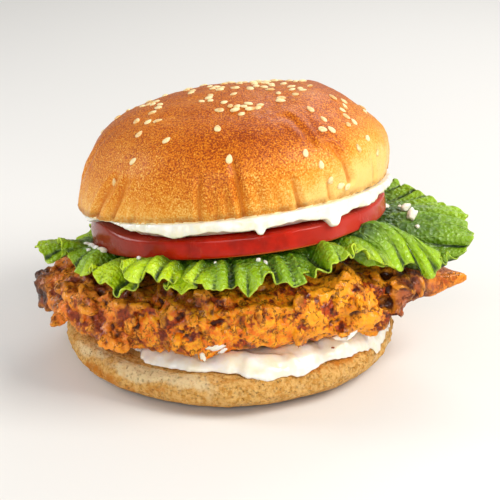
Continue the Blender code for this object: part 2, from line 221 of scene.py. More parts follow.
class Finish:
    """A Principled material and the nodes that make its pattern."""

    def __init__(self, name):
        self.material = bpy.data.materials.new(name)
        self.material.use_nodes = True
        self.tree = self.material.node_tree
        self.shader = self.tree.nodes["Principled BSDF"]
        self.place = self.add("ShaderNodeTexCoord").outputs["Object"]

    def add(self, kind, **inputs):
        """A node with its inputs set, or wired where a value is another node's output."""
        node = self.tree.nodes.new(kind)
        for name, value in inputs.items():
            socket = node.inputs[name.replace("_", " ")]
            if isinstance(value, bpy.types.NodeSocket):
                self.tree.links.new(value, socket)
            else:
                socket.default_value = value
        return node

    def grain(self, size, detail=4.0, roughness=0.6, stretch=(1.0, 1.0, 1.0)):
        """Cloudy noise from 0 to 1, with features of about this size."""
        mapping = self.add("ShaderNodeMapping", Vector=self.place, Scale=stretch)
        texture = self.add("ShaderNodeTexNoise", Vector=mapping.outputs["Vector"], Scale=1.0 / size,
                           Detail=detail, Roughness=roughness)
        return texture.outputs["Fac"]

    def cells(self, size, feature="F1"):
        """Distance to the nearest of many scattered points."""
        texture = self.add("ShaderNodeTexVoronoi", Vector=self.place, Scale=1.0 / size)
        texture.feature = feature
        return texture.outputs["Distance"]

    def attribute(self, name):
        """A value stored on the mesh's points."""
        node = self.add("ShaderNodeAttribute")
        node.attribute_name = name
        return node.outputs["Fac"]

    def height(self):
        """Height above the table, in metres."""
        return self.add("ShaderNodeSeparateXYZ", Vector=self.place).outputs["Z"]

    def across(self):
        """Distance to the right of the burger's middle, in metres."""
        return self.add("ShaderNodeSeparateXYZ", Vector=self.place).outputs["X"]

    def rescale(self, value, low, high, to_low=0.0, to_high=1.0):
        """Stretch a range of a value to another range, smoothly and clamped."""
        node = self.tree.nodes.new("ShaderNodeMapRange")
        node.interpolation_type = "SMOOTHSTEP"
        self.tree.links.new(value, node.inputs["Value"])
        node.inputs["From Min"].default_value = low
        node.inputs["From Max"].default_value = high
        node.inputs["To Min"].default_value = to_low
        node.inputs["To Max"].default_value = to_high
        return node.outputs["Result"]

    def maths(self, operation, first, second):
        """One sum of two values."""
        node = self.tree.nodes.new("ShaderNodeMath")
        node.operation = operation
        for socket, value in zip(node.inputs, (first, second)):
            if isinstance(value, bpy.types.NodeSocket):
                self.tree.links.new(value, socket)
            else:
                socket.default_value = value
        return node.outputs["Value"]

    def blend(self, share, first, second, mode="MIX"):
        """Lay the second colour over the first."""
        node = self.tree.nodes.new("ShaderNodeMix")
        node.data_type = "RGBA"
        node.blend_type = mode
        for index, value in ((0, share), (6, first), (7, second)):
            if isinstance(value, bpy.types.NodeSocket):
                self.tree.links.new(value, node.inputs[index])
            else:
                node.inputs[index].default_value = value
        return node.outputs[2]

    def relief(self, value, distance, strength=1.0, under=None):
        """Bump from a value, on top of an earlier bump."""
        node = self.add("ShaderNodeBump", Height=value, Distance=distance, Strength=strength)
        if under is not None:
            self.tree.links.new(under, node.inputs["Normal"])
        return node.outputs["Normal"]

    def wire(self, value, socket):
        """Join a value to one of the shader's sockets."""
        self.tree.links.new(value, self.shader.inputs[socket])

    def settings(self, **values):
        """Plain values on the shader's own sockets."""
        for name, value in values.items():
            self.shader.inputs[name.replace("_", " ")].default_value = value


heel_low, heel_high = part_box("bun_bottom")
HEEL_MIDDLE = Vector(((heel_low.x + heel_high.x) / 2, (heel_low.y + heel_high.y) / 2, 0.0))
HEEL_RADIUS = (heel_high.x - heel_low.x) / 2
PILE_FOOT = Vector((-5.0 * MM, 0.0, 0.0))  # under the pile's middle; free edges are measured from it
HEEL_FOOT_RADIUS = 0.775 * HEEL_RADIUS
HEEL_THICKNESS = heel_high.z - 0.3 * MM
HEEL_WIDEST = 7.4 * MM                # height of the widest ring
HEEL_CUT_RADIUS = 0.925 * HEEL_RADIUS
HEEL_EDGE_DROP = 0.9 * MM
CRUMB_LUMP = 0.8 * MM                 # broad unevenness of the side
CRUMB_PORE = 0.42 * MM                # fine open texture


def heel_top(x, y):
    """Height of the cut face, which falls away a little at its edge."""
    reach = math.hypot(x - HEEL_MIDDLE.x, y - HEEL_MIDDLE.y) / HEEL_RADIUS
    return HEEL_THICKNESS - HEEL_EDGE_DROP * ease((reach - 0.80) / 0.20)


def heel_skin(x, y):
    """Height of the bread's upper side, also past the cut edge where it rounds down to the side."""
    far = math.hypot(x - HEEL_MIDDLE.x, y - HEEL_MIDDLE.y)
    if far <= HEEL_CUT_RADIUS:
        return heel_top(x, y)
    past = min(0.97, (far - HEEL_CUT_RADIUS) / (HEEL_RADIUS - HEEL_CUT_RADIUS))
    rim_height = HEEL_THICKNESS - HEEL_EDGE_DROP
    return HEEL_WIDEST + (rim_height - HEEL_WIDEST) * math.sqrt(1.0 - past ** 2)


def heel_point(direction, share):
    """Flat foot, a side that swells to its widest ring and rounds in again, and the cut face."""
    foot_share, swell_share, face_share = 0.14, 0.48, 0.66
    rim_height = HEEL_THICKNESS - HEEL_EDGE_DROP
    outward = Vector((math.cos(direction), math.sin(direction), 0.0))
    open_side = 1.0
    if share <= foot_share:
        radius, height, open_side = HEEL_FOOT_RADIUS * share / foot_share, 0.0, 0.0
    elif share <= swell_share:
        turn = (share - foot_share) / (swell_share - foot_share)
        radius = HEEL_FOOT_RADIUS + (HEEL_RADIUS - HEEL_FOOT_RADIUS) * math.sin(turn * math.pi / 2)
        height = HEEL_WIDEST * turn ** 1.4
        open_side = ease(turn / 0.15)
    elif share <= face_share:
        angle = (share - swell_share) / (face_share - swell_share) * math.pi / 2
        radius = HEEL_CUT_RADIUS + (HEEL_RADIUS - HEEL_CUT_RADIUS) * math.cos(angle)
        height = HEEL_WIDEST + (rim_height - HEEL_WIDEST) * math.sin(angle) ** 0.9
    else:
        radius = HEEL_CUT_RADIUS * math.cos((share - face_share) / (1.0 - face_share) * math.pi / 2)
        point = HEEL_MIDDLE + outward * radius
        height, open_side = heel_top(point.x, point.y), ease((radius / HEEL_CUT_RADIUS - 0.93) / 0.07)
    radius *= 1.0 + 0.008 * math.sin(3 * direction + 0.6) + 0.005 * math.sin(7 * direction)
    point = HEEL_MIDDLE + outward * radius + Vector((0.0, 0.0, height))
    lump = CRUMB_LUMP * rough(point, 13.0 * MM, 2)
    pores = CRUMB_PORE * (rough(point, 1.9 * MM, 3) - 0.5 * abs(noise.noise(point / (3.4 * MM))))
    wrinkle = 0.55 * MM * rough(Vector((point.x, point.y, point.z * 2.6)), 6.0 * MM, 2)
    point += outward * (lump + pores + wrinkle) * open_side * 0.85
    if share > foot_share:
        point.z = max(0.2 * MM, point.z + 0.5 * (lump + pores) * open_side * ease(height / (5.0 * MM)))
    if share > face_share:
        point.z += 0.18 * MM * rough(point, 2.4 * MM, 3)
    return point


HEEL_TOAST = (                        # golden patches: direction, height share, their widths, strength
    (222, 0.62, 12, 0.22, 0.95), (207, 0.30, 9, 0.22, 0.9), (236, 0.22, 12, 0.20, 0.75),
    (248, 0.66, 6, 0.16, 0.8), (214, 0.80, 10, 0.16, -1.0), (236, 0.78, 12, 0.20, -1.1),
    (254, 0.86, 10, 0.16, -0.8), (345, 0.5, 12, 0.2, -0.6), (300, 0.90, 16, 0.07, 0.55),
    (322, 0.88, 16, 0.07, 0.65), (352, 0.60, 14, 0.30, 0.5), (262, 0.25, 10, 0.14, 0.35),
    (30, 0.40, 18, 0.30, 0.7), (75, 0.75, 14, 0.25, 0.8), (112, 0.35, 12, 0.25, 0.7),
    (158, 0.60, 18, 0.30, 0.8))


def crumb_finish():
    """Pale crumb, toasted patches, a browned foot line, a golden cut rim and painted shade in the pores."""
    crumb = Finish("bun_crumb")
    height = crumb.height()
    toast = crumb.maths("ADD", crumb.attribute("toast"),
                        crumb.rescale(crumb.grain(5.0 * MM, 4.0), 0.3, 0.7, -0.35, 0.35))
    patch = crumb.rescale(toast, 0.20, 1.0)
    fleck = crumb.rescale(crumb.grain(1.5 * MM, 4.0, 0.7), 0.42, 0.62)
    pore = crumb.rescale(crumb.cells(1.25 * MM), 0.05, 0.42)
    tone = crumb.blend(fleck, paint(238, 188, 110), paint(212, 150, 66))
    tone = crumb.blend(patch, tone, paint(208, 126, 34))
    low_golden = crumb.rescale(height, 2.0 * MM, 5.5 * MM, 0.55, 0.0)
    tone = crumb.blend(low_golden, tone, paint(196, 132, 58))
    wander = crumb.maths("MULTIPLY", crumb.grain(5.0 * MM, 3.0), 2.8 * MM)
    foot_line = crumb.rescale(crumb.maths("SUBTRACT", height, wander), -0.9 * MM, 0.5 * MM, 1.0, 0.0)
    tone = crumb.blend(foot_line, tone, paint(96, 52, 20))
    tone = crumb.blend(crumb.rescale(toast, -0.05, -0.75, 0.0, 0.8), tone, paint(244, 220, 170))
    # Painted shade in the open pores: the middle of each crumb cell is darkened.
    pore_shade = crumb.maths("MULTIPLY", crumb.maths("SUBTRACT", 1.0, pore), 0.26)
    tone = crumb.blend(pore_shade, tone, paint(168, 118, 62))
    crumb.wire(tone, "Base Color")
    crumb.settings(Roughness=0.85, Subsurface_Weight=0.05, Subsurface_Scale=0.002, Specular_IOR_Level=0.25)
    fine = crumb.relief(crumb.grain(3.0 * MM, 3.0), 1.4 * MM, 0.8, crumb.relief(pore, 0.55 * MM, 0.9))
    crumb.wire(crumb.relief(crumb.grain(1.2 * MM, 5.0, 0.75), 1.0 * MM, 1.0, fine), "Normal")
    return crumb.material


def toast_map(mesh):
    """Where the oven or the grill coloured the bread."""
    places = points_of(mesh)
    turns = np.degrees(np.arctan2(places[:, 1] - HEEL_MIDDLE.y, places[:, 0] - HEEL_MIDDLE.x))
    far = np.hypot(places[:, 1] - HEEL_MIDDLE.y, places[:, 0] - HEEL_MIDDLE.x)
    share = places[:, 2] / HEEL_THICKNESS
    toast = np.zeros(len(places))
    for middle, level, width, spread, amount in HEEL_TOAST:
        away = (turns - middle + 180.0) % 360.0 - 180.0
        toast += amount * np.exp(-(away / width) ** 2 - ((share - level) / spread) ** 2)
    inside_rim = np.exp(-((far - 0.86 * HEEL_RADIUS) / (2.6 * MM)) ** 2) * (share > 0.88)
    return toast * (far > 0.92 * HEEL_RADIUS) + 0.5 * inside_rim


heel_mesh = mould("bun_bottom_half", 560, 130, heel_point)
store(heel_mesh, "toast", toast_map(heel_mesh))
bun_bottom = new_object("bun_bottom_half", heel_mesh, crumb_finish())
stand_for(bun_bottom, "bun_bottom")


# ---------------------------------------------------------------- Mayonnaise on the bottom half
# A spoonful of mayonnaise spread on the cut bread and squeezed out in front by the fillet.
# It is one soft body: thin under the fillet, plump where it rolls over the bread's edge.
def billow(point, size, octaves):
    """Puffy lumps with sharp valleys between them, from about -0.3 to 0.7."""
    total, weight = 0.0, 1.0
    for _ in range(octaves):
        total += weight * (abs(noise.noise(point / size)) * 2.2 - 0.42)
        point = point + Vector((3.1, 1.7, 5.3)) * MM
        size *= 0.5
        weight *= 0.52
    return total


SPREAD_EDGE = (                       # direction in degrees, distance from the pile's middle in mm
    (0, 52.5), (20, 51.5), (60, 50.5), (90, 51.5), (115, 49), (140, 51), (165, 49), (190, 50), (215, 47.5),
    (228, 48.5), (233, 53.0), (236, 54.2), (241, 53.4), (252, 52.6), (262, 51.8), (269, 52.6), (274, 54.4),
    (278, 54.7), (283, 54.9), (288, 54.6), (293, 54.2), (298, 53.2), (304, 51.8), (310, 52.4), (317, 52.6),
    (325, 53.2), (332, 54.0), (345, 53.8))
SPREAD_SWELL = (                      # direction in degrees, thickness of the free roll in mm
    (0, 4.2), (40, 3.6), (90, 3.8), (180, 2.4), (222, 1.8), (234, 3.6), (243, 4.2), (253, 4.0), (263, 4.2),
    (276, 4.6), (288, 4.8), (300, 5.2), (312, 5.2), (326, 5.2), (345, 4.8))
SPREAD_FILM = 2.4 * MM                # under the fillet
AIR = 0.25 * MM                       # kept between neighbouring pieces


def spread_point(direction, share):
    """A film that swells to a lumpy roll near its free edge and folds over the cut edge."""
    latitude = (share - 0.5) * math.pi
    degrees = math.degrees(direction)
    cosine, sine = max(0.0, math.cos(latitude)), math.sin(latitude)
    reach = cosine ** 0.42
    outward = Vector((math.cos(direction), math.sin(direction), 0.0))
    ripple = 1.1 * MM * rough(outward * 40.0 * MM, 6.0 * MM, 3)
    point = PILE_FOOT + outward * (around(SPREAD_EDGE, degrees) * MM + ripple) * reach
    floor = heel_skin(point.x, point.y) + AIR
    roll = bump_at(reach, 0.90, 0.12)
    depth = SPREAD_FILM + (around(SPREAD_SWELL, degrees) * MM - SPREAD_FILM) * roll
    fold = 1.3 * MM * billow(Vector((point.x * 0.7, point.y, 0.0)), 9.0 * MM, 2)
    lumps = fold + 0.7 * MM * rough(point, 6.0 * MM, 2) + 0.25 * MM * rough(point, 2.6 * MM, 2)
    round_off = (1.0 - reach ** 12.0) ** 0.5
    if sine > 0.0:
        point.z = floor + 0.4 * MM + max(0.8 * MM, depth + lumps * (0.3 + 0.7 * roll)) * round_off
    else:
        point.z = floor + 0.4 * MM * (1.0 - round_off)
    return point


def mayonnaise_finish():
    """Wet off-white sauce, a touch yellow where it is thick, with small smears and bubbles."""
    sauce = Finish("mayonnaise")
    cloud = sauce.rescale(sauce.grain(7.0 * MM, 3.0), 0.35, 0.70)
    tone = sauce.blend(cloud, paint(254, 251, 240), paint(248, 238, 206))
    sauce.wire(tone, "Base Color")
    sauce.wire(sauce.rescale(sauce.grain(4.0 * MM, 3.0), 0.3, 0.7, 0.12, 0.28), "Roughness")
    sauce.settings(Subsurface_Weight=0.35, Subsurface_Scale=0.004, Coat_Weight=0.25, Coat_Roughness=0.15)
    sauce.shader.inputs["Subsurface Radius"].default_value = (1.0, 0.85, 0.55)
    sauce.wire(sauce.relief(sauce.grain(3.2 * MM, 3.0), 0.35 * MM, 0.5), "Normal")
    return sauce.material


mayonnaise = mayonnaise_finish()
sauce_bottom = new_object("mayonnaise_bottom", mould("mayonnaise_bottom", 420, 90, spread_point), mayonnaise)
stand_for(sauce_bottom, "sauce_bottom")


# ---------------------------------------------------------------- Fried fillet
# A chicken fillet in craggy batter, deep fried. The batter puffs into overlapping flaps and
# lumps, burnt at the left end, with painted highlight on the ridges and painted shade in the pockets.
def merged_copy(node):
    """A bmesh of a CAD node with its loose triangles joined."""
    builder = bmesh.new()
    builder.from_mesh(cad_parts[node].data)
    bmesh.ops.remove_doubles(builder, verts=builder.verts, dist=0.01 * MM)
    return builder


def knit(mesh, cell):
    """One even closed skin round everything in a mesh."""
    holder = bpy.data.objects.new("knitting", mesh)
    bpy.context.scene.collection.objects.link(holder)
    remesh = holder.modifiers.new("skin", "REMESH")
    remesh.mode = "VOXEL"
    remesh.voxel_size = cell
    graph = bpy.context.evaluated_depsgraph_get()
    skin = bpy.data.meshes.new_from_object(holder.evaluated_get(graph))
    bpy.data.objects.remove(holder, do_unlink=True)
    return skin


def normals_of(mesh):
    """All point normals of a mesh as rows of numbers."""
    arrows = np.empty(len(mesh.vertices) * 3, np.float32)
    mesh.vertex_normals.foreach_get("vector", arrows)
    return arrows.reshape(-1, 3).astype(np.float64)


def relaxed(mesh, values, rounds):
    """Values on a mesh's points, averaged with their neighbours several times."""
    edges = np.empty(len(mesh.edges) * 2, np.int32)
    mesh.edges.foreach_get("vertices", edges)
    edges = edges.reshape(-1, 2)
    total = len(mesh.vertices)
    count = np.bincount(edges.ravel(), minlength=total).clip(1)
    values = values.reshape(total, -1).astype(np.float64)
    for _ in range(rounds):
        gathered = np.empty_like(values)
        for column in range(values.shape[1]):
            gathered[:, column] = (
                np.bincount(edges[:, 0], values[edges[:, 1], column], total)
                + np.bincount(edges[:, 1], values[edges[:, 0], column], total))
        values = 0.5 * values + 0.5 * gathered / count[:, None]
    return values


FRY_CELL = 0.74 * MM
FIRST_CELL = 1.3 * MM
BURNT_END = -65.0 * MM                # left of here the scraps are short and stubby
BARE_ENDS = (-71.0 * MM, 58.0 * MM)   # and there are none past these, along X
UNDERSIDE = -0.35                     # a skin leaning over further than this has few scraps
UNDERSIDE_BARE = 0.85                 # share of the scraps there that are left out
LOW_DOWN = 9.0 * MM                   # above the bottom half: scraps below this lie flatter, unstreaked
STREAKS_END = -34.0 * MM              # left of this there are dark streaks
STREAK_SHARE = 0.6                    # share of the scraps there that are streaks
BATTER_DEPTH = 1.9 * MM               # the meat lies this far under the batter's outermost lumps
BATTER_SEED = 2
SCRAPS = 240
SCRAP_LENGTH = (6.5 * MM, 15.0 * MM)
SCRAP_THICKNESS = (1.7 * MM, 3.4 * MM)
STREAK_LENGTH = (8.0 * MM, 15.0 * MM)  # long ridges at the left end, running down the side
TIP_START = 57.0 * MM                 # the right-hand end narrows from here, along X
TIP_RUN = 15.0 * MM
TIP_DRAW = 1.8 * MM                   # and its very end is drawn this much further out
TIP_AXIS = (-11.0 * MM, 29.6 * MM)    # towards this line, in Y and Z
TIP_NARROWING = 0.42
PILE_COVER = 41.0 * MM                # the pile hides and presses the batter this far out


def round_blob():
    """Points and faces of a plain ball, to be bent into scraps."""
    builder = bmesh.new()
    bmesh.ops.create_icosphere(builder, subdivisions=3, radius=1.0)
    points = [vertex.co.copy() for vertex in builder.verts]
    faces = [tuple(vertex.index for vertex in face.verts) for face in builder.faces]
    builder.free()
    return points, faces


def scrap_points(blob, place, normal, dice):
    """A bent, lumpy scrap of batter, half sunk in the surface and tilted out of it."""
    low_down = place.z < HEEL_THICKNESS + LOW_DOWN
    streak = place.x < STREAKS_END and dice.random() < STREAK_SHARE and not low_down
    length = dice.uniform(*(STREAK_LENGTH if streak else SCRAP_LENGTH))
    if place.x < BURNT_END:
        streak, length = False, 0.5 * length
    width = dice.uniform(2.6 * MM, 4.2 * MM) if streak else length * dice.uniform(0.45, 0.9)
    thick = dice.uniform(*SCRAP_THICKNESS)
    down = Vector((dice.uniform(-0.5, 0.5), 0.0, -1.0)) if streak else Vector(
        (dice.uniform(-1, 1), dice.uniform(-1, 1), dice.uniform(-1, 1)))
    long_way = (down - normal * down.dot(normal)).normalized()
    side_way = normal.cross(long_way)
    stand = Matrix((long_way, side_way, normal)).transposed().to_4x4()
    lift = 0.3 if place.x < BURNT_END or low_down else 1.0
    tilt = Matrix.Rotation(math.radians(dice.uniform(-36.0, 36.0)) * lift, 4, "X")
    tilt @= Matrix.Rotation(math.radians(dice.uniform(-18.0, 18.0)) * lift, 4, "Y")
    lay = Matrix.Translation(place - normal * 0.15 * thick) @ stand @ tilt
    shift = Vector((dice.uniform(-9, 9), dice.uniform(-9, 9), dice.uniform(-9, 9)))
    points = []
    for unit in blob:
        wobble = 1.0 + 0.45 * noise.noise(unit * 1.5 + shift)
        bend = thick * (0.35 * (unit.x ** 2 - 0.4) + 0.55 * noise.noise(unit * 2.2 - shift))
        points.append(lay @ Vector(
            (unit.x * length / 2 * wobble, unit.y * width / 2 * wobble, unit.z * thick / 2 + bend)))
    return points


def pushed(mesh, push):
    """Move each point along its normal, except where the pile and the bread press it flat."""
    places, normals = points_of(mesh), normals_of(mesh)
    amounts = np.array([push(Vector(place)) for place in places])
    reach = np.hypot(places[:, 0] - PILE_FOOT.x, places[:, 1])
    pressed = (np.abs(normals[:, 2]) > 0.6) & (reach < PILE_COVER)
    amounts[pressed] = -0.1 * MM
    places += normals * amounts[:, None]
    mesh.vertices.foreach_set("co", places.ravel())
    mesh.update()


def crevice(point):
    """The deep fold in front between the main part and the right-hand lobe."""
    return bump_at(point.x + 0.2 * (point.z - 30.0 * MM), 45.5 * MM, 1.5 * MM) * ease(-point.y / (12.0 * MM))


def smoother_tip(point):
    """One over most of the fillet, less over the thin right-hand tip, which kept a smoother coat."""
    return 1.0 - 0.8 * ease((point.x - 54.0 * MM) / (8.0 * MM))


def flaky(point, size, octaves):
    """Thin crests with smooth hollows between them, from about -0.5 to 0.6."""
    total, weight = 0.0, 1.0
    for _ in range(octaves):
        total += weight * (0.50 - 1.9 * abs(noise.noise(point / size)))
        point = point + Vector((4.7, 2.9, 6.1)) * MM
        size *= 0.5
        weight *= 0.5
    return total


def batter_lumps(point):
    """Large lumps, drawn out of line by a slow warp."""
    warp = noise.noise_vector(point / (16.0 * MM)) * 5.0 * MM
    lumps = 2.6 * MM * billow(point + warp, 14.0 * MM, 2) * smoother_tip(point)
    return lumps - BATTER_DEPTH * smoother_tip(point) - 1.5 * MM * crevice(point)


def batter_crust(point):
    """Crisp wrinkles, drawn out downwards at the left, with a few small lumps."""
    warp = noise.noise_vector(point / (6.0 * MM)) * 2.4 * MM
    drawn = 1.0 - 0.6 * ease((-point.x - 28.0 * MM) / (14.0 * MM))
    here = Vector((point.x, point.y, point.z * drawn)) + warp
    wrinkle = 0.70 * MM * flaky(here, 5.2 * MM, 3) + 0.34 * MM * billow(here, 3.2 * MM, 2)
    return wrinkle * smoother_tip(point) - 1.2 * MM * crevice(point)


def draw_out_tip(mesh):
    """Draw the right-hand end out to a narrow point."""
    places = points_of(mesh)
    share = np.clip((places[:, 0] - TIP_START) / TIP_RUN, 0.0, 1.0)
    share = share * share * (3.0 - 2.0 * share)
    places[:, 0] += TIP_DRAW * share
    places[:, 1:] += (np.array(TIP_AXIS) - places[:, 1:]) * (TIP_NARROWING * share)[:, None]
    mesh.vertices.foreach_set("co", places.ravel())
    mesh.update()


def fillet_mesh():
    """The meat, lumped, dressed in scraps of batter, knitted into one skin and roughened."""
    noise.seed_set(BATTER_SEED)
    dice = random.Random(BATTER_SEED)
    meat = merged_copy("chicken")
    joined = bpy.data.meshes.new("fried_fillet")
    meat.to_mesh(joined)
    meat.free()
    core = knit(joined, FIRST_CELL)
    pushed(core, batter_lumps)
    draw_out_tip(core)
    points = [vertex.co.copy() for vertex in core.vertices]
    faces = [tuple(polygon.vertices) for polygon in core.polygons]
    blob, blob_faces = round_blob()
    scraps = 0
    while scraps < SCRAPS:
        patch = core.polygons[dice.randrange(len(core.polygons))]
        place, normal = patch.center, patch.normal
        pressed = math.hypot(place.x - PILE_FOOT.x, place.y) < PILE_COVER
        if abs(normal.z) > 0.6 and pressed:
            continue
        if normal.z < UNDERSIDE and dice.random() < UNDERSIDE_BARE:
            continue
        if not BARE_ENDS[0] < place.x < BARE_ENDS[1]:
            continue
        faces += [tuple(len(points) + index for index in face) for face in blob_faces]
        points += scrap_points(blob, place, normal, dice)
        scraps += 1
    dressed = bpy.data.meshes.new("fried_fillet")
    dressed.from_pydata(points, [], faces)
    skin = knit(dressed, FRY_CELL)
    pushed(skin, batter_crust)
    places = points_of(skin)
    for name, rounds in (("hollow", 10), ("pocket", 70)):
        smooth = relaxed(skin, places, rounds)
        depth = np.einsum("ij,ij->i", smooth - places, normals_of(skin)) / MM
        store(skin, name, relaxed(skin, depth, 1))
    return skin


def fried_finish():
    """Painted highlight on the ridges, painted shade in the pockets and under the leaf, a burnt left end and
    a pinker, browner right lobe.
    """
    fried = Finish("fried_batter")
    hollow = fried.attribute("hollow")
    pocket = fried.attribute("pocket")
    across = fried.across()
    cloud = fried.grain(9.0 * MM, 3.0, 0.6)
    fleck = fried.grain(2.2 * MM, 5.0, 0.66)
    height = fried.height()
    patches = fried.grain(6.0 * MM, 4.0, 0.60)
    gold = fried.blend(fried.rescale(fleck, 0.38, 0.62), paint(255, 176, 34), paint(242, 116, 14))
    rust = fried.blend(fried.rescale(fleck, 0.40, 0.60), paint(186, 70, 14), paint(80, 24, 6))
    tone = fried.blend(fried.rescale(patches, 0.51, 0.60), gold, rust)
    tone = fried.blend(fried.rescale(cloud, 0.56, 0.66, 0.0, 0.6), tone, paint(120, 46, 12))
    left_part = fried.rescale(across, -30.0 * MM, -44.0 * MM, 0.0, 0.60)
    ruddy = fried.blend(fried.rescale(patches, 0.42, 0.60), paint(244, 138, 58), paint(144, 58, 22))
    tone = fried.blend(left_part, tone, ruddy)
    # Painted shadow cast by the lettuce leaf on the fillet's upper left, darkened to deep brown.
    leaf_shadow = fried.maths("MULTIPLY", fried.rescale(height, 32.0 * MM, 40.0 * MM, 0.0, 0.74),
                         fried.rescale(across, -22.0 * MM, -4.0 * MM, 1.0, 0.0))
    tone = fried.blend(leaf_shadow, tone, paint(84, 32, 10))
    sunny = fried.maths("MULTIPLY", fried.rescale(across, 4.0 * MM, 24.0 * MM, 0.0, 0.75),
                        fried.rescale(patches, 0.57, 0.46))
    tone = fried.blend(sunny, tone, paint(255, 168, 34))
    pinkish = fried.blend(fried.rescale(patches, 0.40, 0.62), paint(192, 102, 54), paint(96, 38, 20))
    right_side = fried.rescale(across, 44.0 * MM, 50.0 * MM)
    tip = fried.rescale(across, 57.0 * MM, 63.0 * MM)
    tone = fried.blend(right_side, tone, pinkish)
    amber = fried.blend(fried.rescale(fleck, 0.38, 0.66), paint(236, 132, 44), paint(160, 62, 20))
    tone = fried.blend(tip, tone, amber)
    burnt = fried.blend(fried.rescale(fleck, 0.40, 0.64), paint(98, 52, 28), paint(38, 22, 14))
    wander = fried.maths("MULTIPLY", fried.maths("SUBTRACT", cloud, 0.5), 26.0 * MM)
    left_end = fried.rescale(fried.maths("ADD", across, wander), -74.0 * MM, -65.0 * MM, 1.0, 0.0)
    tone = fried.blend(left_end, tone, burnt)
    # Painted highlight: the batter's ridges, away from the burnt end, are lightened to bright gold.
    ridge_highlight = fried.rescale(pocket, -0.35, -1.5, 0.0, 0.60)
    tone = fried.blend(fried.maths("MULTIPLY", ridge_highlight, fried.maths("SUBTRACT", 1.0, left_end)), tone,
                       paint(255, 166, 36))
    warped = fried.grain(5.0 * MM, 5.0, 0.62, (1.0, 1.0, 0.7))
    crack = fried.rescale(fried.maths("ABSOLUTE", fried.maths("SUBTRACT", warped, 0.5), 0.0),
                          0.004, 0.030, 1.0, 0.0)
    crack = fried.maths("MULTIPLY", crack, fried.rescale(fleck, 0.56, 0.44))
    tone = fried.blend(fried.maths("MULTIPLY", crack, 0.72), tone, paint(112, 42, 10))
    # Painted shade in the pockets and small hollows between the lumps.
    tone = fried.blend(fried.rescale(pocket, 0.35, 1.3, 0.0, 0.80), tone, paint(96, 32, 8))
    tone = fried.blend(fried.rescale(hollow, 0.11, 0.50, 0.0, 0.88), tone, paint(56, 19, 5))
    fried.wire(tone, "Base Color")
    fried.wire(fried.rescale(fried.grain(3.0 * MM, 3.0), 0.3, 0.7, 0.18, 0.46), "Roughness")
    fried.settings(Coat_Weight=0.26, Coat_Roughness=0.09, Specular_IOR_Level=0.18)
    fine = fried.relief(fried.grain(1.3 * MM, 4.0, 0.65), 0.55 * MM, 0.8)
    cracked = fried.relief(crack, -0.6 * MM, 0.8, fine)
    fried.wire(fried.relief(fried.cells(2.0 * MM), 0.30 * MM, 0.5, cracked), "Normal")
    return fried.material


fillet = new_object("fried_fillet", fillet_mesh(), fried_finish())
stand_for(fillet, "chicken")


# ---------------------------------------------------------------- Tomato
# A thick cross slice of a ripe tomato. Its edge is wet red skin, and the two cut faces are
# flesh. It leans with the pile: its place is measured along the pile's own axis.
def flat_side(node):
    """Middle and outward direction of a CAD node's lower flat side."""
    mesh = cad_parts[node].data
    faces = [polygon for polygon in mesh.polygons if polygon.normal.z < -0.93]
    area = sum(polygon.area for polygon in faces)
    middle = sum((polygon.center * polygon.area for polygon in faces), Vector()) / area
    outward = sum((polygon.normal * polygon.area for polygon in faces), Vector()).normalized()
    return middle, outward


def span_along(node, origin, axis):
    """Lowest and highest distance of a CAD node's points along an axis, and the widest from it."""
    offsets = [vertex.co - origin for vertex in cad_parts[node].data.vertices]
    along = [offset.dot(axis) for offset in offsets]
    away = [(offset - axis * offset.dot(axis)).length for offset in offsets]
    return min(along), max(along), max(away)


pile_middle, pile_down = flat_side("bun_top")
PILE_UP = -pile_down
pile_right = (Vector((1.0, 0.0, 0.0)) - PILE_UP * PILE_UP.x).normalized()
pile_back = PILE_UP.cross(pile_right)
PILE = Matrix.Translation(pile_middle) @ Matrix(
    (pile_right, pile_back, PILE_UP)).transposed().to_4x4()
tomato_low, tomato_high, TOMATO_RADIUS = span_along("tomato", pile_middle, PILE_UP)


def on_pile(across, direction, height):
    """A point given round the pile's axis and above the top half's cut face."""
    return PILE @ Vector((across * math.cos(direction), across * math.sin(direction), height))


def tomato_point(direction, share):
    """A slice with a firm skin edge, softly lobed like the fruit."""
    latitude = (share - 0.5) * math.pi
    cosine, sine = max(0.0, math.cos(latitude)), math.sin(latitude)
    radius = TOMATO_RADIUS * (0.992 + 0.008 * math.sin(5 * direction + 0.4))
    radius -= 0.9 * MM * bump_at(turn_between(math.degrees(direction), 318.0), 0.0, 9.0)
    half = (tomato_high - tomato_low) / 2
    reach = cosine ** 0.13
    belly = 0.7 * MM * cosine ** 0.5
    height = math.copysign(abs(sine) ** 0.22, sine) * half
    sag = 0.35 * MM * math.sin(2 * direction + 0.7) * reach
    radius += 1.8 * MM * bump_at(turn_between(math.degrees(direction), 194.0), 0.0, 26.0)
    swollen = bump_at(turn_between(math.degrees(direction), 201.0), 0.0, 17.0) * ease((reach - 0.7) / 0.2)
    if sine > 0.0:
        sag += 3.3 * MM * swollen * min(1.0, sine / 0.4)
    middle = (tomato_high + tomato_low) / 2
    return on_pile((radius - 0.7 * MM) * reach + belly, direction, middle + height + sag)


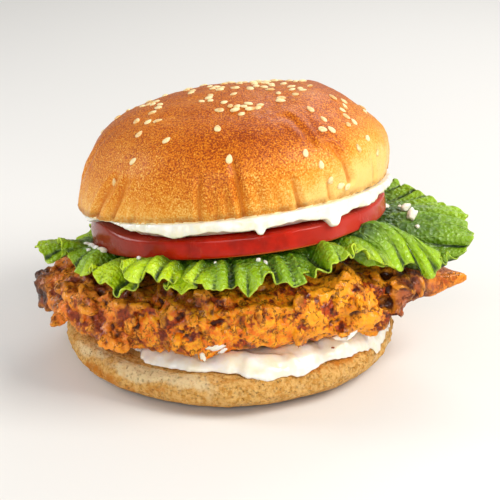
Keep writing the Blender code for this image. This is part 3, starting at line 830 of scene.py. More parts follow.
def tomato_finish():
    """Deep red skin with painted shade at the left and painted light at the right, a lighter cut edge and
    fine streaks.
    """
    tomato = Finish("tomato_flesh")
    across = tomato.across()
    cloud = tomato.grain(11.0 * MM, 3.0)
    tone = tomato.blend(tomato.rescale(cloud, 0.35, 0.65), paint(200, 28, 0), paint(150, 22, 2))
    # Painted shade: the left side, away from the main window, is darkened to brownish red.
    tone = tomato.blend(tomato.rescale(across, -18.0 * MM, -50.0 * MM), tone, paint(134, 44, 24))
    # Painted light: the right side, towards the main window, is lightened to a pinker red.
    tone = tomato.blend(tomato.rescale(across, 2.0 * MM, 34.0 * MM), tone, paint(192, 52, 38))
    streak = tomato.grain(1.5 * MM, 3.0, 0.6, (1.0, 1.0, 0.25))
    tone = tomato.blend(tomato.rescale(streak, 0.58, 0.80, 0.0, 0.28), tone, paint(228, 96, 60))
    tone = tomato.blend(tomato.rescale(tomato.attribute("cut_edge"), 0.45, 1.0), tone, paint(232, 110, 48))
    tomato.wire(tone, "Base Color")
    tomato.wire(tomato.rescale(tomato.grain(5.0 * MM), 0.3, 0.7, 0.12, 0.28), "Roughness")
    tomato.settings(Subsurface_Weight=0.05, Subsurface_Scale=0.002, Coat_Weight=0.10, Coat_Roughness=0.14,
                    Specular_IOR_Level=0.22)
    tomato.shader.inputs["Subsurface Radius"].default_value = (1.0, 0.25, 0.12)
    tomato.wire(tomato.relief(tomato.grain(2.4 * MM, 4.0), 0.25 * MM, 0.5), "Normal")
    return tomato.material


tomato_mesh = mould("tomato_slice", 360, 90, tomato_point)
tomato_offsets = points_of(tomato_mesh) - np.array(pile_middle)
tomato_depth = tomato_offsets @ np.array(PILE_UP)
tomato_across = np.linalg.norm(tomato_offsets - np.outer(tomato_depth, PILE_UP), axis=1)
store(tomato_mesh, "cut_edge",
      np.exp(-((tomato_depth - tomato_low - 0.4 * MM) / (0.7 * MM)) ** 2)
      * (tomato_across > TOMATO_RADIUS - 2 * MM))
tomato = new_object("tomato_slice", tomato_mesh, tomato_finish())
stand_for(tomato, "tomato")


# ---------------------------------------------------------------- Front lettuce leaf
# A frilly leaf laid under the tomato so that its margin hangs out over the fillet. The margin
# is much longer than the leaf, so it buckles into deep folds, each with finer ruffles on it.
class Leaf:
    """A thin sheet drawn as ribs, from the fillet's top, pinched under the tomato, to the frilled hem."""

    thickness = 0.55 * MM
    inner = 8.0 * MM                  # how near the pile's middle the leaf reaches
    shelf = 45.0 * MM                 # the tomato holds it down this far out
    ruffle = 1.35 * MM                # small ruffles along the hem
    ruffle_length = 6.4 * MM
    sway = 1.6 * MM                   # slower rise and fall of the hem
    fold_depth = 1.0                  # how much of each fold is kept
    pucker = 0.70 * MM                # blistered surface between the veins
    gap = 0.45 * MM                   # kept from the pieces above and below

    def __init__(self, name, ribs, folds, young, columns, rows, level, seed):
        self.name, self.columns, self.rows, self.level = name, columns, rows, level
        self.folds, self.young = folds, young
        self.shift = Vector((seed * 1.7, seed * 3.1, seed * 0.9))
        self.ribs = self.spline(np.array(ribs, float), columns)

    def spline(self, rows, count):
        """Smooth curve through the ribs, evenly sampled by the hem's own length."""
        ends = np.vstack([2 * rows[0] - rows[1], rows, 2 * rows[-1] - rows[-2]])
        fine = []
        for index in range(len(rows) - 1):
            before, start, end, after = ends[index:index + 4]
            for step in np.linspace(0.0, 1.0, 24, endpoint=False):
                fine.append(0.5 * (2 * start + (end - before) * step
                                   + (2 * before - 5 * start + 4 * end - after) * step ** 2
                                   + (3 * start - before - 3 * end + after) * step ** 3))
        fine = np.array(fine + [rows[-1]])
        turn = np.radians(fine[:, 1])
        hem = np.stack([fine[:, 2] * np.cos(turn), fine[:, 2] * np.sin(turn), fine[:, 3]], 1)
        length = np.concatenate([[0.0], np.cumsum(np.linalg.norm(np.diff(hem, axis=0), axis=1))])
        self.hem_length = length[-1] * MM
        even = np.linspace(0.0, length[-1], count)
        return np.stack([np.interp(even, length, fine[:, column]) for column in range(fine.shape[1])], 1)

    def seat(self, x, y):
        """Height under the tomato's lower face, above a point of the table."""
        base = pile_middle + PILE_UP * (tomato_low - self.level)
        return base.z - ((x - base.x) * PILE_UP.x + (y - base.y) * PILE_UP.y) / PILE_UP.z

    def rest(self, spot, under):
        """Height at which the leaf's middle lies on the fillet, or under the tomato if nothing is below."""
        top = under.ray_cast(Vector((*spot, 70.0 * MM)), Vector((0.0, 0.0, -1.0)))[0]
        return self.seat(*spot) if top is None else min(self.seat(*spot), top.z + self.level)

    def sheet(self, under):
        """Places of all points, row by row from the inner end to the hem."""
        places = np.empty((self.rows, self.columns, 3))
        held = self.rows // 4
        centre = np.array([PILE_FOOT.x, PILE_FOOT.y])
        for column, (root, turn, reach, height, arch) in enumerate(self.ribs):
            root, turn = math.radians(root), math.radians(turn)
            out = np.array([math.cos(root), math.sin(root)])
            tip = np.array([*(centre + reach * MM * np.array([math.cos(turn), math.sin(turn)])), height * MM])
            ground = centre + out * self.shelf
            start = np.array([*ground, self.seat(*ground)])
            knee = 0.5 * (start + tip)
            knee[:2] += out * 1.5 * MM
            knee[2] += (arch + self.fold_depth * around(self.folds, math.degrees(root) % 360.0)) * MM
            for row in range(self.rows):
                if row < held:
                    away = self.inner + (self.shelf - self.inner) * row / held
                    spot = centre + out * away
                    rest = self.rest(spot, under)
                    rise = ease((away - 20.0 * MM) / (22.0 * MM))
                    places[row, column] = (*spot, rest + (self.seat(*spot) - rest) * rise)
                else:
                    share = (row - held) / (self.rows - 1 - held)
                    places[row, column] = ((1 - share) ** 2 * start + 2 * share * (1 - share) * knee
                                           + share ** 2 * tip)
        return places

    def mesh(self, obstacles):
        """The sheet with ruffles and puckers, kept off its neighbours and given its thickness."""
        places = self.sheet(obstacles[0])
        along_hem = np.gradient(places, axis=1)
        towards_hem = np.gradient(places, axis=0)
        facing = np.cross(along_hem, towards_hem)
        facing /= np.linalg.norm(facing, axis=2, keepdims=True).clip(1e-12)
        if facing[self.rows // 4, :, 2].mean() < 0.0:
            facing = -facing
        held = self.rows // 4
        share = np.clip((np.arange(self.rows) - held) / (self.rows - 1 - held), 0.0, 1.0)
        for column in range(self.columns):
            run = column / (self.columns - 1) * self.hem_length
            drift = 2.2 * noise.noise(Vector((run / (11.0 * MM), 0.0, 0.0)) + self.shift)
            wave = math.sin(2 * math.pi * run / self.ruffle_length + drift)
            wave += 0.6 * noise.noise(Vector((run / (2.4 * MM), 4.0, 0.0)) + self.shift)
            vigour = 0.55 + 0.9 * abs(noise.noise(Vector((run / (9.0 * MM), 9.0, 0.0)) + self.shift))
            trim = 0.9 * MM * noise.noise(Vector((run / (1.9 * MM), 2.0, 5.0)) + self.shift)
            trim += 2.0 * MM * noise.noise(Vector((run / (5.0 * MM), 7.0, 5.0)) + self.shift)
            sway = self.sway * noise.noise(Vector((run / (12.0 * MM), 3.0, 8.0)) + self.shift)
            for row in range(held, self.rows):
                grow = share[row]
                point = Vector(places[row, column])
                flat = Vector((run * (0.6 + 0.4 * grow), grow * 16.0 * MM, 0.0)) + self.shift
                blister = abs(noise.noise(flat / (3.4 * MM))) - 0.28 + 0.35 * noise.noise(flat / (1.5 * MM))
                lift = (self.ruffle * wave * vigour + sway) * grow ** 2.0
                lift += self.pucker * blister * min(1.0, 4.0 * grow) * (1.0 - 0.4 * grow)
                places[row, column] += facing[row, column] * lift
                places[row, column] += towards_hem[row, column] / np.linalg.norm(
                    towards_hem[row, column]) * trim * grow ** 6.0
        places = self.kept_off(places, obstacles)
        grid = self.grid(places, share)
        return grid

    def kept_off(self, places, obstacles):
        """Push points out of the pieces they would sink into, spreading each push a little."""
        rows, columns, _ = places.shape
        for _ in range(3):
            push = np.zeros_like(places)
            for row in range(rows // 4, rows):
                for column in range(columns):
                    point = Vector(places[row, column])
                    for tree in obstacles:
                        near, normal, _, distance = tree.find_nearest(point, 4.0 * MM)
                        if near is None:
                            continue
                        outside = (point - near).dot(normal) > 0.0
                        want = self.gap - (distance if outside else -distance)
                        if want > 0.0:
                            push[row, column] += np.array(normal * want)
            places = places + push
        return places

    def grid(self, places, share):
        """Both skins of the leaf and the rim that joins them."""
        rows, columns, _ = places.shape
        order = np.arange(rows * columns).reshape(rows, columns)
        quads = np.stack([order[:-1, :-1], order[:-1, 1:], order[1:, 1:], order[1:, :-1]], -1).reshape(-1, 4)
        flat = places.reshape(-1, 3)
        mesh = bpy.data.meshes.new(self.name)
        mesh.from_pydata(flat.tolist(), [], quads.tolist())
        up = sum(polygon.normal.z for polygon in mesh.polygons)
        if up < 0.0:
            mesh.flip_normals()
        margin = np.repeat(share, columns)
        run = np.tile(np.arange(columns) / (columns - 1) * self.hem_length, rows)
        store(mesh, "margin", margin)
        smooth = relaxed(mesh, flat, 12)
        folds = np.einsum("ij,ij->i", smooth - flat, normals_of(mesh)) / MM
        store(mesh, "hollow", folds)
        broad = relaxed(mesh, flat, 90)
        store(mesh, "valley", np.einsum("ij,ij->i", broad - flat, normals_of(mesh)) / MM)
        store(mesh, "run", run / MM)
        youth = [around(self.young, root % 360.0) for root in self.ribs[:, 0]]
        store(mesh, "young", np.tile(youth, rows) * margin ** 2)
        holder = bpy.data.objects.new(self.name, mesh)
        bpy.context.scene.collection.objects.link(holder)
        skin = holder.modifiers.new("thickness", "SOLIDIFY")
        skin.thickness = self.thickness
        skin.offset = 0.0
        graph = bpy.context.evaluated_depsgraph_get()
        solid = bpy.data.meshes.new_from_object(holder.evaluated_get(graph))
        bpy.data.objects.remove(holder, do_unlink=True)
        return solid


def lettuce_finish(name, deep, fresh, lime, rim):
    """Fresh green with paler branching veins and a thin pale hem; painted shade darkens the folds and painted
    light brightens their crests.
    """
    leaf = Finish(name)
    margin = leaf.attribute("margin")
    hollow = leaf.attribute("hollow")
    run = leaf.attribute("run")
    cloud = leaf.grain(8.0 * MM, 3.0)
    tone = leaf.blend(leaf.rescale(margin, 0.10, 0.85), deep, fresh)
    tone = leaf.blend(leaf.rescale(cloud, 0.42, 0.66, 0.0, 0.6), tone, deep)
    valley = leaf.attribute("valley")
    # Painted light: the crests of the broad folds and of the small ruffles are lightened to fresh green.
    tone = leaf.blend(leaf.rescale(valley, -0.10, -1.2, 0.0, 0.60), tone, fresh)
    tone = leaf.blend(leaf.rescale(hollow, -0.08, -0.5, 0.0, 0.50), tone, fresh)
    tone = leaf.blend(leaf.rescale(leaf.attribute("young"), 0.05, 0.9, 0.0, 0.90), tone, lime)
    # Painted shade: the valleys of the broad folds and the small hollows are darkened to deep green.
    tone = leaf.blend(leaf.rescale(valley, 0.05, 0.85, 0.0, 0.88), tone, paint(16, 44, 3))
    tone = leaf.blend(leaf.rescale(hollow, 0.04, 0.32, 0.0, 0.80), tone, paint(20, 54, 5))
    map_of_leaf = leaf.add("ShaderNodeCombineXYZ", X=leaf.maths("MULTIPLY", run, 0.16),
                           Y=leaf.maths("MULTIPLY", margin, 1.4))
    web = leaf.add("ShaderNodeTexVoronoi", Vector=map_of_leaf.outputs["Vector"], Scale=2.6)
    web.feature = "DISTANCE_TO_EDGE"
    vein = leaf.rescale(web.outputs["Distance"], 0.0, 0.10, 1.0, 0.0)
    tone = leaf.blend(leaf.maths("MULTIPLY", vein, 0.20), tone, paint(170, 204, 80))
    tone = leaf.blend(leaf.rescale(margin, 0.980, 1.0, 0.0, 0.55), tone, rim)
    leaf.wire(tone, "Base Color")
    leaf.wire(leaf.rescale(leaf.grain(2.2 * MM, 3.0), 0.3, 0.7, 0.28, 0.50), "Roughness")
    leaf.settings(Subsurface_Weight=0.15, Subsurface_Scale=0.0015, Coat_Weight=0.14, Coat_Roughness=0.20)
    leaf.shader.inputs["Subsurface Radius"].default_value = (0.6, 1.0, 0.15)
    pucker = leaf.relief(leaf.cells(1.5 * MM), 0.70 * MM, 1.0)
    fine = leaf.relief(leaf.grain(0.9 * MM, 3.0), 0.2 * MM, 0.5, pucker)
    leaf.wire(leaf.relief(vein, 0.25 * MM, 0.6, fine), "Normal")
    return leaf.material


def tree_of(piece):
    """Search tree over a finished piece's surface."""
    mesh = piece.data
    return BVHTree.FromPolygons([vertex.co for vertex in mesh.vertices],
                                [tuple(polygon.vertices) for polygon in mesh.polygons])


fillet_tree = tree_of(fillet)
tomato_tree = tree_of(tomato)
# Each rib: direction under the tomato, then where its tip is (direction, distance and height in
# millimetres), and how far it arches between them. Tips that swing back make overhanging folds.
FRONT_FOLDS = (                       # direction in degrees, how far the leaf is lifted or pressed in mm
    (0, 0), (120, 0), (134, 5), (146, -4), (156, 4), (166, -4), (174, 3), (183, -3), (190, 5), (196, -5),
    (203, 4), (208, 9), (215, -9), (221, 5), (228, -8), (235, 4), (241, 8), (246, 3), (250, -8), (254, 5),
    (257, 5), (260, 0), (264, 5), (267, -1), (270, 3), (275, 4), (277.5, 2), (280, -3), (284, 4), (287, 1),
    (290, 3), (293, 1), (297, -9), (302, 8), (306, 3), (310, -5), (315, 4), (324, 0))
FRONT_YOUNG = (                       # direction in degrees, how pale and lime-coloured the hem is there
    (0, 0.3), (120, 0.4), (180, 0.8), (190, 0.4), (205, 0.4), (212, 0.8), (220, 1.3), (246, 1.3), (256, 1.1),
    (264, 0.4), (272, 0.5), (280, 0.15), (296, 0.1), (302, 0.5), (315, 0.6))
FRONT_RIBS = (
    (122, 122, 54, 38.5, 1), (132, 131, 58.5, 34, 2), (141, 142, 56, 37.5, 3), (151, 150, 60.5, 32, 3),
    (160, 161, 57, 36, 3), (168, 169, 61.5, 31, 3), (175, 177, 60.5, 34.5, 3), (181, 184, 64.0, 39, 3),
    (185, 190, 69, 44, 4), (188, 192.5, 68, 41, 3), (190, 195, 66, 38, 3), (193, 195.5, 62.5, 40.5, 2),
    (197, 198.5, 64, 47.8, 3), (200, 201, 62.5, 43.5, 4), (204, 206.5, 61, 39.8, 5), (209, 212, 61, 40, 5),
    (214, 216.5, 59.5, 44, 3), (218, 220.5, 62, 45, 2), (224, 229, 62, 42.5, 3), (227, 232, 62, 40.6, 3),
    (230, 235.5, 60.5, 43.8, 2), (231, 236.5, 59, 46.5, 2), (233, 233.5, 62, 51, 1.5),
    (236, 236, 63.5, 48.5, 3), (239, 240, 63.5, 48.6, 3), (241, 241.5, 62, 50.2, 2),
    (244, 245, 62.5, 50, 2), (247, 249, 63.2, 50, 3), (249, 252, 61, 51, 2), (250, 249, 58.5, 48, 2),
    (251, 246, 58.5, 46, 2), (252, 249.5, 60.5, 45.5, 2), (254, 253, 61.5, 45.6, 2),
    (256, 257.5, 60, 47, 2), (258, 255.5, 62, 50.6, 1.5), (261, 260, 62.3, 48.3, 2.5),
    (264, 265, 62.5, 47.2, 3), (268, 269, 60.3, 48.3, 2), (272, 272.7, 62.5, 47.2, 3),
    (275, 276, 61, 48.4, 2), (278, 278.5, 58.8, 51.6, 1), (282, 283, 61, 49.5, 2), (286, 287, 62, 47.7, 3),
    (289, 290.5, 61.3, 48.2, 3), (291, 290, 59.5, 50, 1), (293, 293, 57, 48, 1), (295, 294.5, 61, 49, 2),
    (298, 298.5, 62, 51.8, 2.5), (302, 301.5, 62, 53, 3), (306, 306, 61, 53.4, 2), (310, 310, 57.8, 55, 1),
    (314, 316, 57.5, 50, 3), (318, 322, 59.5, 45.8, 5), (321, 326, 61, 43.2, 5))
front_leaf = Leaf("lettuce_front_leaf", FRONT_RIBS, FRONT_FOLDS, FRONT_YOUNG, 620, 60, 1.0 * MM, 3)
front_leaf.fold_depth = 0.7
lettuce_front = new_object(
    "lettuce_front_leaf", front_leaf.mesh((fillet_tree, tomato_tree)),
    lettuce_finish("lettuce_front", paint(44, 90, 2), paint(134, 174, 2),
                   paint(196, 226, 8), paint(206, 228, 50)))
stand_for(lettuce_front, "lettuce_front")


# ---------------------------------------------------------------- Right lettuce leaf
# A second leaf, broader and flatter, that stands out at the right in two big folds with a
# puckered face. A tongue of its hem hangs down in front, and its back edge turns up.
RIGHT_FOLDS = (
    (0, -4), (5, -3), (11, 1), (18, 0), (25, -5), (32, 0), (40, 8), (50, -6), (60, 6), (72, -5), (84, 5),
    (96, -5), (108, 4), (120, -3), (130, 0), (310, 0), (315, -7), (318.5, 0), (322, 9), (325, 9), (328, 0),
    (332, -12), (337, -17), (342, -15), (347, -9), (352, -3), (356, 0))
RIGHT_YOUNG = (
    (0, 0.25), (8, 0.8), (20, 0.7), (40, 0.4), (120, 0.4), (312, 0.5), (320, 0.95), (327, 1.0), (330, 0.4),
    (336, 0.3), (345, 0.5), (354, 0.4))
RIGHT_RIBS = (
    (316, 322, 55, 44, 2), (318, 326, 59.5, 44, 7), (320, 328.5, 62.5, 42, 10),
    (321.5, 331, 64.5, 44.5, 10), (323, 334, 67.5, 43.6, 10), (324, 333.6, 67.5, 40, 11),
    (325, 335, 70.5, 38.4, 12), (326.5, 336.8, 72.6, 40.2, 12), (328, 338, 71.5, 44.5, 10),
    (331, 342.5, 69.5, 41, 4), (335, 345.5, 72.5, 38.2, 2.5), (339, 347.5, 73, 40.6, 2),
    (343, 350, 76, 38.8, 4), (349, 352.8, 80, 44.4, 5), (356, 356, 78, 46.8, 7),
    (363, 358.4, 71.0, 44.6, 6), (367, 359.6, 71.0, 44.8, 5), (371, 363, 79.5, 46.5, 4),
    (377, 371, 72.5, 48.2, 0), (384, 381, 67.8, 49, 1), (390, 389, 66, 48.8, 2), (398, 398, 64, 45, 3),
    (408, 409, 61, 43, 3), (418, 418, 62.5, 39, 2), (428, 427, 58, 44, 3), (438, 438, 60.5, 38.5, 2),
    (450, 448, 56.5, 43.5, 3), (462, 461, 60, 38.5, 2), (474, 472, 57, 43, 2), (484, 484, 58, 39, 1))
right_leaf = Leaf("lettuce_right_leaf", RIGHT_RIBS, RIGHT_FOLDS, RIGHT_YOUNG, 460, 70, 1.9 * MM, 8)
lettuce_right = new_object(
    "lettuce_right_leaf", right_leaf.mesh((fillet_tree, tomato_tree)),
    lettuce_finish("lettuce_right", paint(34, 72, 7), paint(112, 154, 12),
                   paint(164, 204, 8), paint(190, 216, 50)))
stand_for(lettuce_right, "lettuce_right")


# ---------------------------------------------------------------- Mayonnaise under the top half
# The same mayonnaise, spread on the top half's cut face and pressed onto the tomato. Its free
# edge bulges out, wavers, and runs down over the tomato's skin in a few short drips.
sauce_low, _, SAUCE_RADIUS = span_along("sauce_top", pile_middle, PILE_UP)
SAUCE_HANG = (                        # direction in degrees, how far below the crust it reaches in mm
    (0, 3.8), (45, 4.4), (90, 5.2), (130, 4.0), (165, 4.6), (185, 2.4), (191, 2.6), (198, 2.8), (204, 1.6),
    (209, 0.8), (216, 0.7), (221, 1.4), (227.5, 2.6), (235, 3.3), (241, 3.9), (247, 5.2), (253, 4.6),
    (260, 3.8), (264, 3.9), (270, 4.6), (278, 4.4), (286, 4.1), (292, 3.5), (298, 4.7), (304, 5.2),
    (312, 5.5), (318, 4.4), (324, 5.2), (329, 5.0), (334, 3.4), (342, 3.2), (352, 3.3))
DRIPS = (                             # direction in degrees, how far it runs in mm, half width in degrees
    (306.6, 3.0, 2.6), (278.0, 2.0, 1.6), (60, 2.6, 3.0), (110, 1.8, 5.0), (150, 2.6, 2.6), (20, 1.6, 3.0))


def sauce_top_point(direction, share):
    """A pressed layer whose free edge bulges out and hangs unevenly over the tomato's skin."""
    degrees = math.degrees(direction)
    outward = Vector((math.cos(direction), math.sin(direction), 0.0))
    ripple = 0.55 * MM * rough(outward * 50.0 * MM, 5.0 * MM, 3)
    hang = around(SAUCE_HANG, degrees) * MM + 0.35 * MM * rough(outward * 50.0 * MM, 2.6 * MM, 2)
    drip = sum(run * MM * math.exp(-(turn_between(degrees, middle) / width) ** 4)
               for middle, run, width in DRIPS)
    ceiling = -0.25 * MM
    rim = SAUCE_RADIUS + 0.3 * MM + ripple
    shallow = max(sauce_low, -hang - 0.8 * MM)
    inner_floor = shallow + (sauce_low - shallow) * ease((hang - 1.2 * MM) / (2.6 * MM))
    if share < 0.30:
        return on_pile((SAUCE_RADIUS - 2.2 * MM) * share / 0.30, direction, inner_floor)
    if share > 0.78:
        return on_pile((rim - 1.4 * MM) * (1.0 - share) / 0.22, direction, ceiling)
    turn = (share - 0.30) / 0.48
    bottom = -hang - drip
    height = ceiling + (bottom - ceiling) * 0.5 * (1.0 + math.cos(math.pi * turn ** 0.85))
    bulge = math.sin(math.pi * turn ** 0.85) ** 0.55
    across = rim - 1.4 * MM + 1.5 * MM * bulge * min(1.0, 0.35 + hang / (4.0 * MM))
    sag = 0.45 * MM * ease(1.0 - turn / 0.5) * min(1.0, drip / (2.0 * MM))
    tuck = 0.8 * MM * ease(1.0 - turn / 0.18)
    lump = 0.30 * MM * rough(on_pile(across, direction, height), 3.4 * MM, 2) * bulge
    return on_pile(across + sag - tuck + lump, direction, height)


sauce_top = new_object("mayonnaise_top", mould("mayonnaise_top", 620, 70, sauce_top_point), mayonnaise)
stand_for(sauce_top, "sauce_top")


# ---------------------------------------------------------------- Top half of the bun
# The domed top of the same bun, brushed with egg before baking: brown and satin on top, paler
# gold low down. The crust puckered into pleats and creases as the soft bread shrank under it.
_, CROWN_HEIGHT, CROWN_RADIUS = span_along("bun_top", pile_middle, PILE_UP)
CROWN_WAIST = 0.30 * CROWN_HEIGHT
CROWN_LOW_SHARE = 0.24                # share of the rows of points below the widest ring
CROWN_TUCK = math.radians(17.0)       # how far the side turns in under itself
CROWN_SLUMP = 4.1 * MM                # how far the left shoulder slopes in
CROWN_BULGE = 0.8 * MM                # how far its foot swells out
CROWN_SAG = 1.1 * MM                  # the top sits lower towards the left
CROWN_RISE = 1.2 * MM                 # and swells a little towards the right
CROWN_DENT = 3.4 * MM                 # how far the right shoulder is flattened
CROWN_HEM = (                         # direction in degrees, how far the lower edge hangs down there in mm
    (0, 0.0), (200, 0.0), (235, 0.1), (246, 0.9), (254, 1.7), (262, 1.8), (270, 1.0), (280, 0.5), (288, 1.0),
    (294, 0.9), (302, 0.4), (315, 0.3), (330, 0.0))
CREASES = (                           # from and to (direction, height in mm), depth in mm, half width in mm
    ((300, 27.6), (303, 20.4), 1.3, 1.5), ((293, 28.8), (301, 27.8), 0.5, 1.0),
    ((307, 23.5), (312, 15.6), 1.0, 2.2), ((311, 17.0), (316, 5.6), 1.7, 1.3),
    ((271, 18.0), (273, 1.0), 1.5, 1.2), ((259, 24.0), (270, 18.0), 0.5, 2.2),
    ((222, 14.0), (207, -1.0), 1.9, 1.5), ((229, 13.5), (219, 0.0), 1.6, 1.3),
    ((233, 6.0), (230, -1.0), 0.6, 0.9), ((240, 8.0), (239, -1.0), 0.4, 0.9),
    ((259, 14.0), (257, 1.0), 1.0, 1.0), ((263, 8.0), (264, -1.0), 0.5, 1.0),
    ((267, 9.0), (268, -1.0), 0.6, 1.1), ((278, 11.0), (280, -1.0), 0.5, 1.1),
    ((291, 10.0), (294.5, -1.0), 1.5, 1.1), ((285, 7.0), (286, -1.0), 0.5, 0.9),
    ((304, 9.0), (306.5, 1.0), 0.8, 1.0), ((330, 11.0), (333, 0.0), 0.6, 1.1),
    ((200, 26.0), (192, 13.0), 0.7, 2.0), ((190, 14.0), (186, -1.0), 1.3, 1.4))
BACK_PLEATS = 9                       # on the far side, spread from 0 to 180 degrees


def far_creases(dice):
    """Pleats like those in front, for the far side."""
    rows = []
    for step in range(BACK_PLEATS):
        turn = -12.0 + 192.0 * (step + dice.uniform(0.2, 0.8)) / BACK_PLEATS
        tall, slant = dice.uniform(8.0, 20.0), dice.uniform(-8.0, 8.0)
        rows.append(((turn, tall), (turn + slant, -1.0), dice.uniform(0.6, 1.7), dice.uniform(1.0, 1.7)))
    return tuple(rows)


ALL_CREASES = CREASES + far_creases(random.Random(5))


def crown_profile(share, tuck, slope):
    """Distance from the axis and height above the cut face, from the cut face's middle up."""
    face_share = 0.16
    edge_radius = CROWN_RADIUS * math.cos(tuck)
    if share <= face_share:
        return edge_radius * share / face_share, 0.0
    turn = (share - face_share) / (1.0 - face_share)
    if turn < CROWN_LOW_SHARE:
        height = CROWN_WAIST * turn / CROWN_LOW_SHARE
        lean = math.asin((height / CROWN_WAIST - 1.0) * math.sin(tuck))
        return CROWN_RADIUS * math.cos(lean), height
    angle = math.pi / 2 * (turn - CROWN_LOW_SHARE) / (1.0 - CROWN_LOW_SHARE)
    dome = CROWN_HEIGHT - CROWN_WAIST
    return CROWN_RADIUS * max(0.0, math.cos(angle)) ** slope, CROWN_WAIST + dome * math.sin(angle) ** 0.96


def crease_depth(degrees, radius, height):
    """How deep the creases press the crust at a point of the dome, with a low ridge each side."""
    total = 0.0
    scale = math.radians(1.0) * radius
    for (from_turn, from_height), (to_turn, to_height), depth, width in ALL_CREASES:
        away = turn_between(degrees, from_turn) * scale
        if abs(away) > 22.0 * MM:
            continue
        end_x, end_z = turn_between(to_turn, from_turn) * scale, (to_height - from_height) * MM
        here_z = height - from_height * MM
        share = max(0.0, min(1.0, (away * end_x + here_z * end_z) / (end_x ** 2 + end_z ** 2)))
        side = math.hypot(away - end_x * share, here_z - end_z * share) / (width * MM)
        if side < 4.0:
            swell = math.exp(-side ** 2) - 0.28 * math.exp(-((side - 2.0) / 0.9) ** 2)
            total += depth * MM * swell * (0.45 + 0.55 * ease(share / 0.6))
    return total


def crown_point(direction, share):
    """The dome with its slumped shoulder, pleats, creases and slight unevenness."""
    left_side = max(0.0, -math.cos(direction)) ** 2
    right_side = max(0.0, math.cos(direction)) ** 2
    radius, height = crown_profile(share, CROWN_TUCK * (1.0 - 0.94 * left_side), 0.95 + 0.10 * right_side)
    degrees = math.degrees(direction) % 360.0
    slump = left_side * (CROWN_SLUMP * ease(height / (20.0 * MM)) - CROWN_BULGE)
    slump += CROWN_DENT * right_side * bump_at(height / CROWN_HEIGHT, 0.72, 0.26)
    slump *= radius / CROWN_RADIUS
    swell = 1.0 + 0.006 * math.sin(2 * direction + 0.8) + 0.004 * math.sin(3 * direction)
    crust = ease(height / (1.2 * MM))
    pinch = crease_depth(degrees, radius, height) * (0.35 + 0.65 * crust)
    outer = on_pile(radius, direction, height)
    uneven = 0.60 * MM * rough(outer, 20.0 * MM, 2) + 0.16 * MM * rough(outer, 4.0 * MM, 2)
    ragged = 0.55 * MM * rough(outer, 3.0 * MM, 3) * (1.0 - ease(height / (3.0 * MM)))
    side = ease((radius / CROWN_RADIUS - 0.55) / 0.4)
    lower_edge = 0.55 * MM * rough(outer, 2.6 * MM, 2) * (1.0 - crust) * side
    radius = radius * swell - slump * side - (pinch - (uneven + ragged) * crust) * side
    lift = (uneven - 0.6 * pinch) * (1.0 - side) * crust
    rightward = radius / CROWN_RADIUS * math.cos(direction)
    swollen = CROWN_RISE * bump_at(rightward, 0.62, 0.20) - CROWN_SAG * ease((0.60 - rightward) / 0.30)
    lift += swollen * (1.0 - side)
    hem = around(CROWN_HEM, degrees) * MM * side * (1.0 - ease(height / (9.0 * MM)))
    return on_pile(radius, direction, height + lift + lower_edge - hem)


def crust_finish():
    """Egg-washed crust: fine speckled brown above, gold lower down, a darker ragged cut edge; painted shade
    in the pleats, and painted light and shade in parts of the bake pattern.
    """
    crust = Finish("bun_crust")
    # The bake pattern holds the real browning together with painted light and shade.
    bake_and_light = crust.attribute("bake_and_light")
    pleat_shade = crust.attribute("hollow")
    speckle = crust.grain(0.55 * MM, 2.0, 0.6)
    cloud = crust.grain(11.0 * MM, 4.0, 0.6)
    heat = crust.maths("ADD", bake_and_light, crust.maths("MULTIPLY", crust.maths("SUBTRACT", cloud, 0.5), 0.50))
    contrast = crust.rescale(bake_and_light, 0.05, 0.6, 0.8, 2.3)
    grit = crust.maths("MULTIPLY", crust.maths("SUBTRACT", speckle, 0.5), contrast)
    heat = crust.maths("ADD", heat, grit)
    ramp = crust.add("ShaderNodeValToRGB", Fac=heat)
    stops = ((0.0, paint(248, 204, 116)), (0.26, paint(234, 160, 54)), (0.50, paint(218, 126, 22)),
             (0.74, paint(198, 98, 18)), (1.0, paint(142, 58, 16)))
    ramp.color_ramp.elements[0].position, ramp.color_ramp.elements[0].color = stops[0]
    ramp.color_ramp.elements[1].position, ramp.color_ramp.elements[1].color = stops[-1]
    for position, colour in stops[1:-1]:
        ramp.color_ramp.elements.new(position).color = colour
    # Painted shade in the pleats and creases, where the crust's hollows are pulled towards a deep orange.
    tone = crust.blend(crust.rescale(pleat_shade, 0.05, 0.50, 0.0, 0.65),
                       ramp.outputs["Color"], paint(206, 116, 22))
    edge = crust.rescale(crust.attribute("edge"), 0.05, 0.95)
    edge = crust.maths("MULTIPLY", edge,
                       crust.rescale(crust.grain(5.0 * MM, 5.0, 0.7), 0.36, 0.62, 0.20, 0.70))
    tone = crust.blend(edge, tone, paint(150, 84, 26))
    crumb = crust.rescale(crust.attribute("cut_face"), 0.4, 0.6)
    tone = crust.blend(crumb, tone, paint(244, 222, 172))
    crust.wire(tone, "Base Color")
    crust.wire(crust.rescale(crust.grain(6.0 * MM, 3.0), 0.3, 0.7, 0.32, 0.50), "Roughness")
    crust.settings(Subsurface_Weight=0.04, Subsurface_Scale=0.003, Coat_Weight=0.03, Coat_Roughness=0.22,
                   Specular_IOR_Level=0.20)
    fine = crust.relief(speckle, 0.22 * MM, 0.8)
    crust.wire(crust.relief(crust.grain(2.6 * MM, 3.0), 0.30 * MM, 0.4, fine), "Normal")
    return crust.material


def bell(degrees, middle, width):
    """A bell round a direction, for a whole row of directions."""
    return np.exp(-(((degrees - middle + 180.0) % 360.0 - 180.0) / width) ** 2)


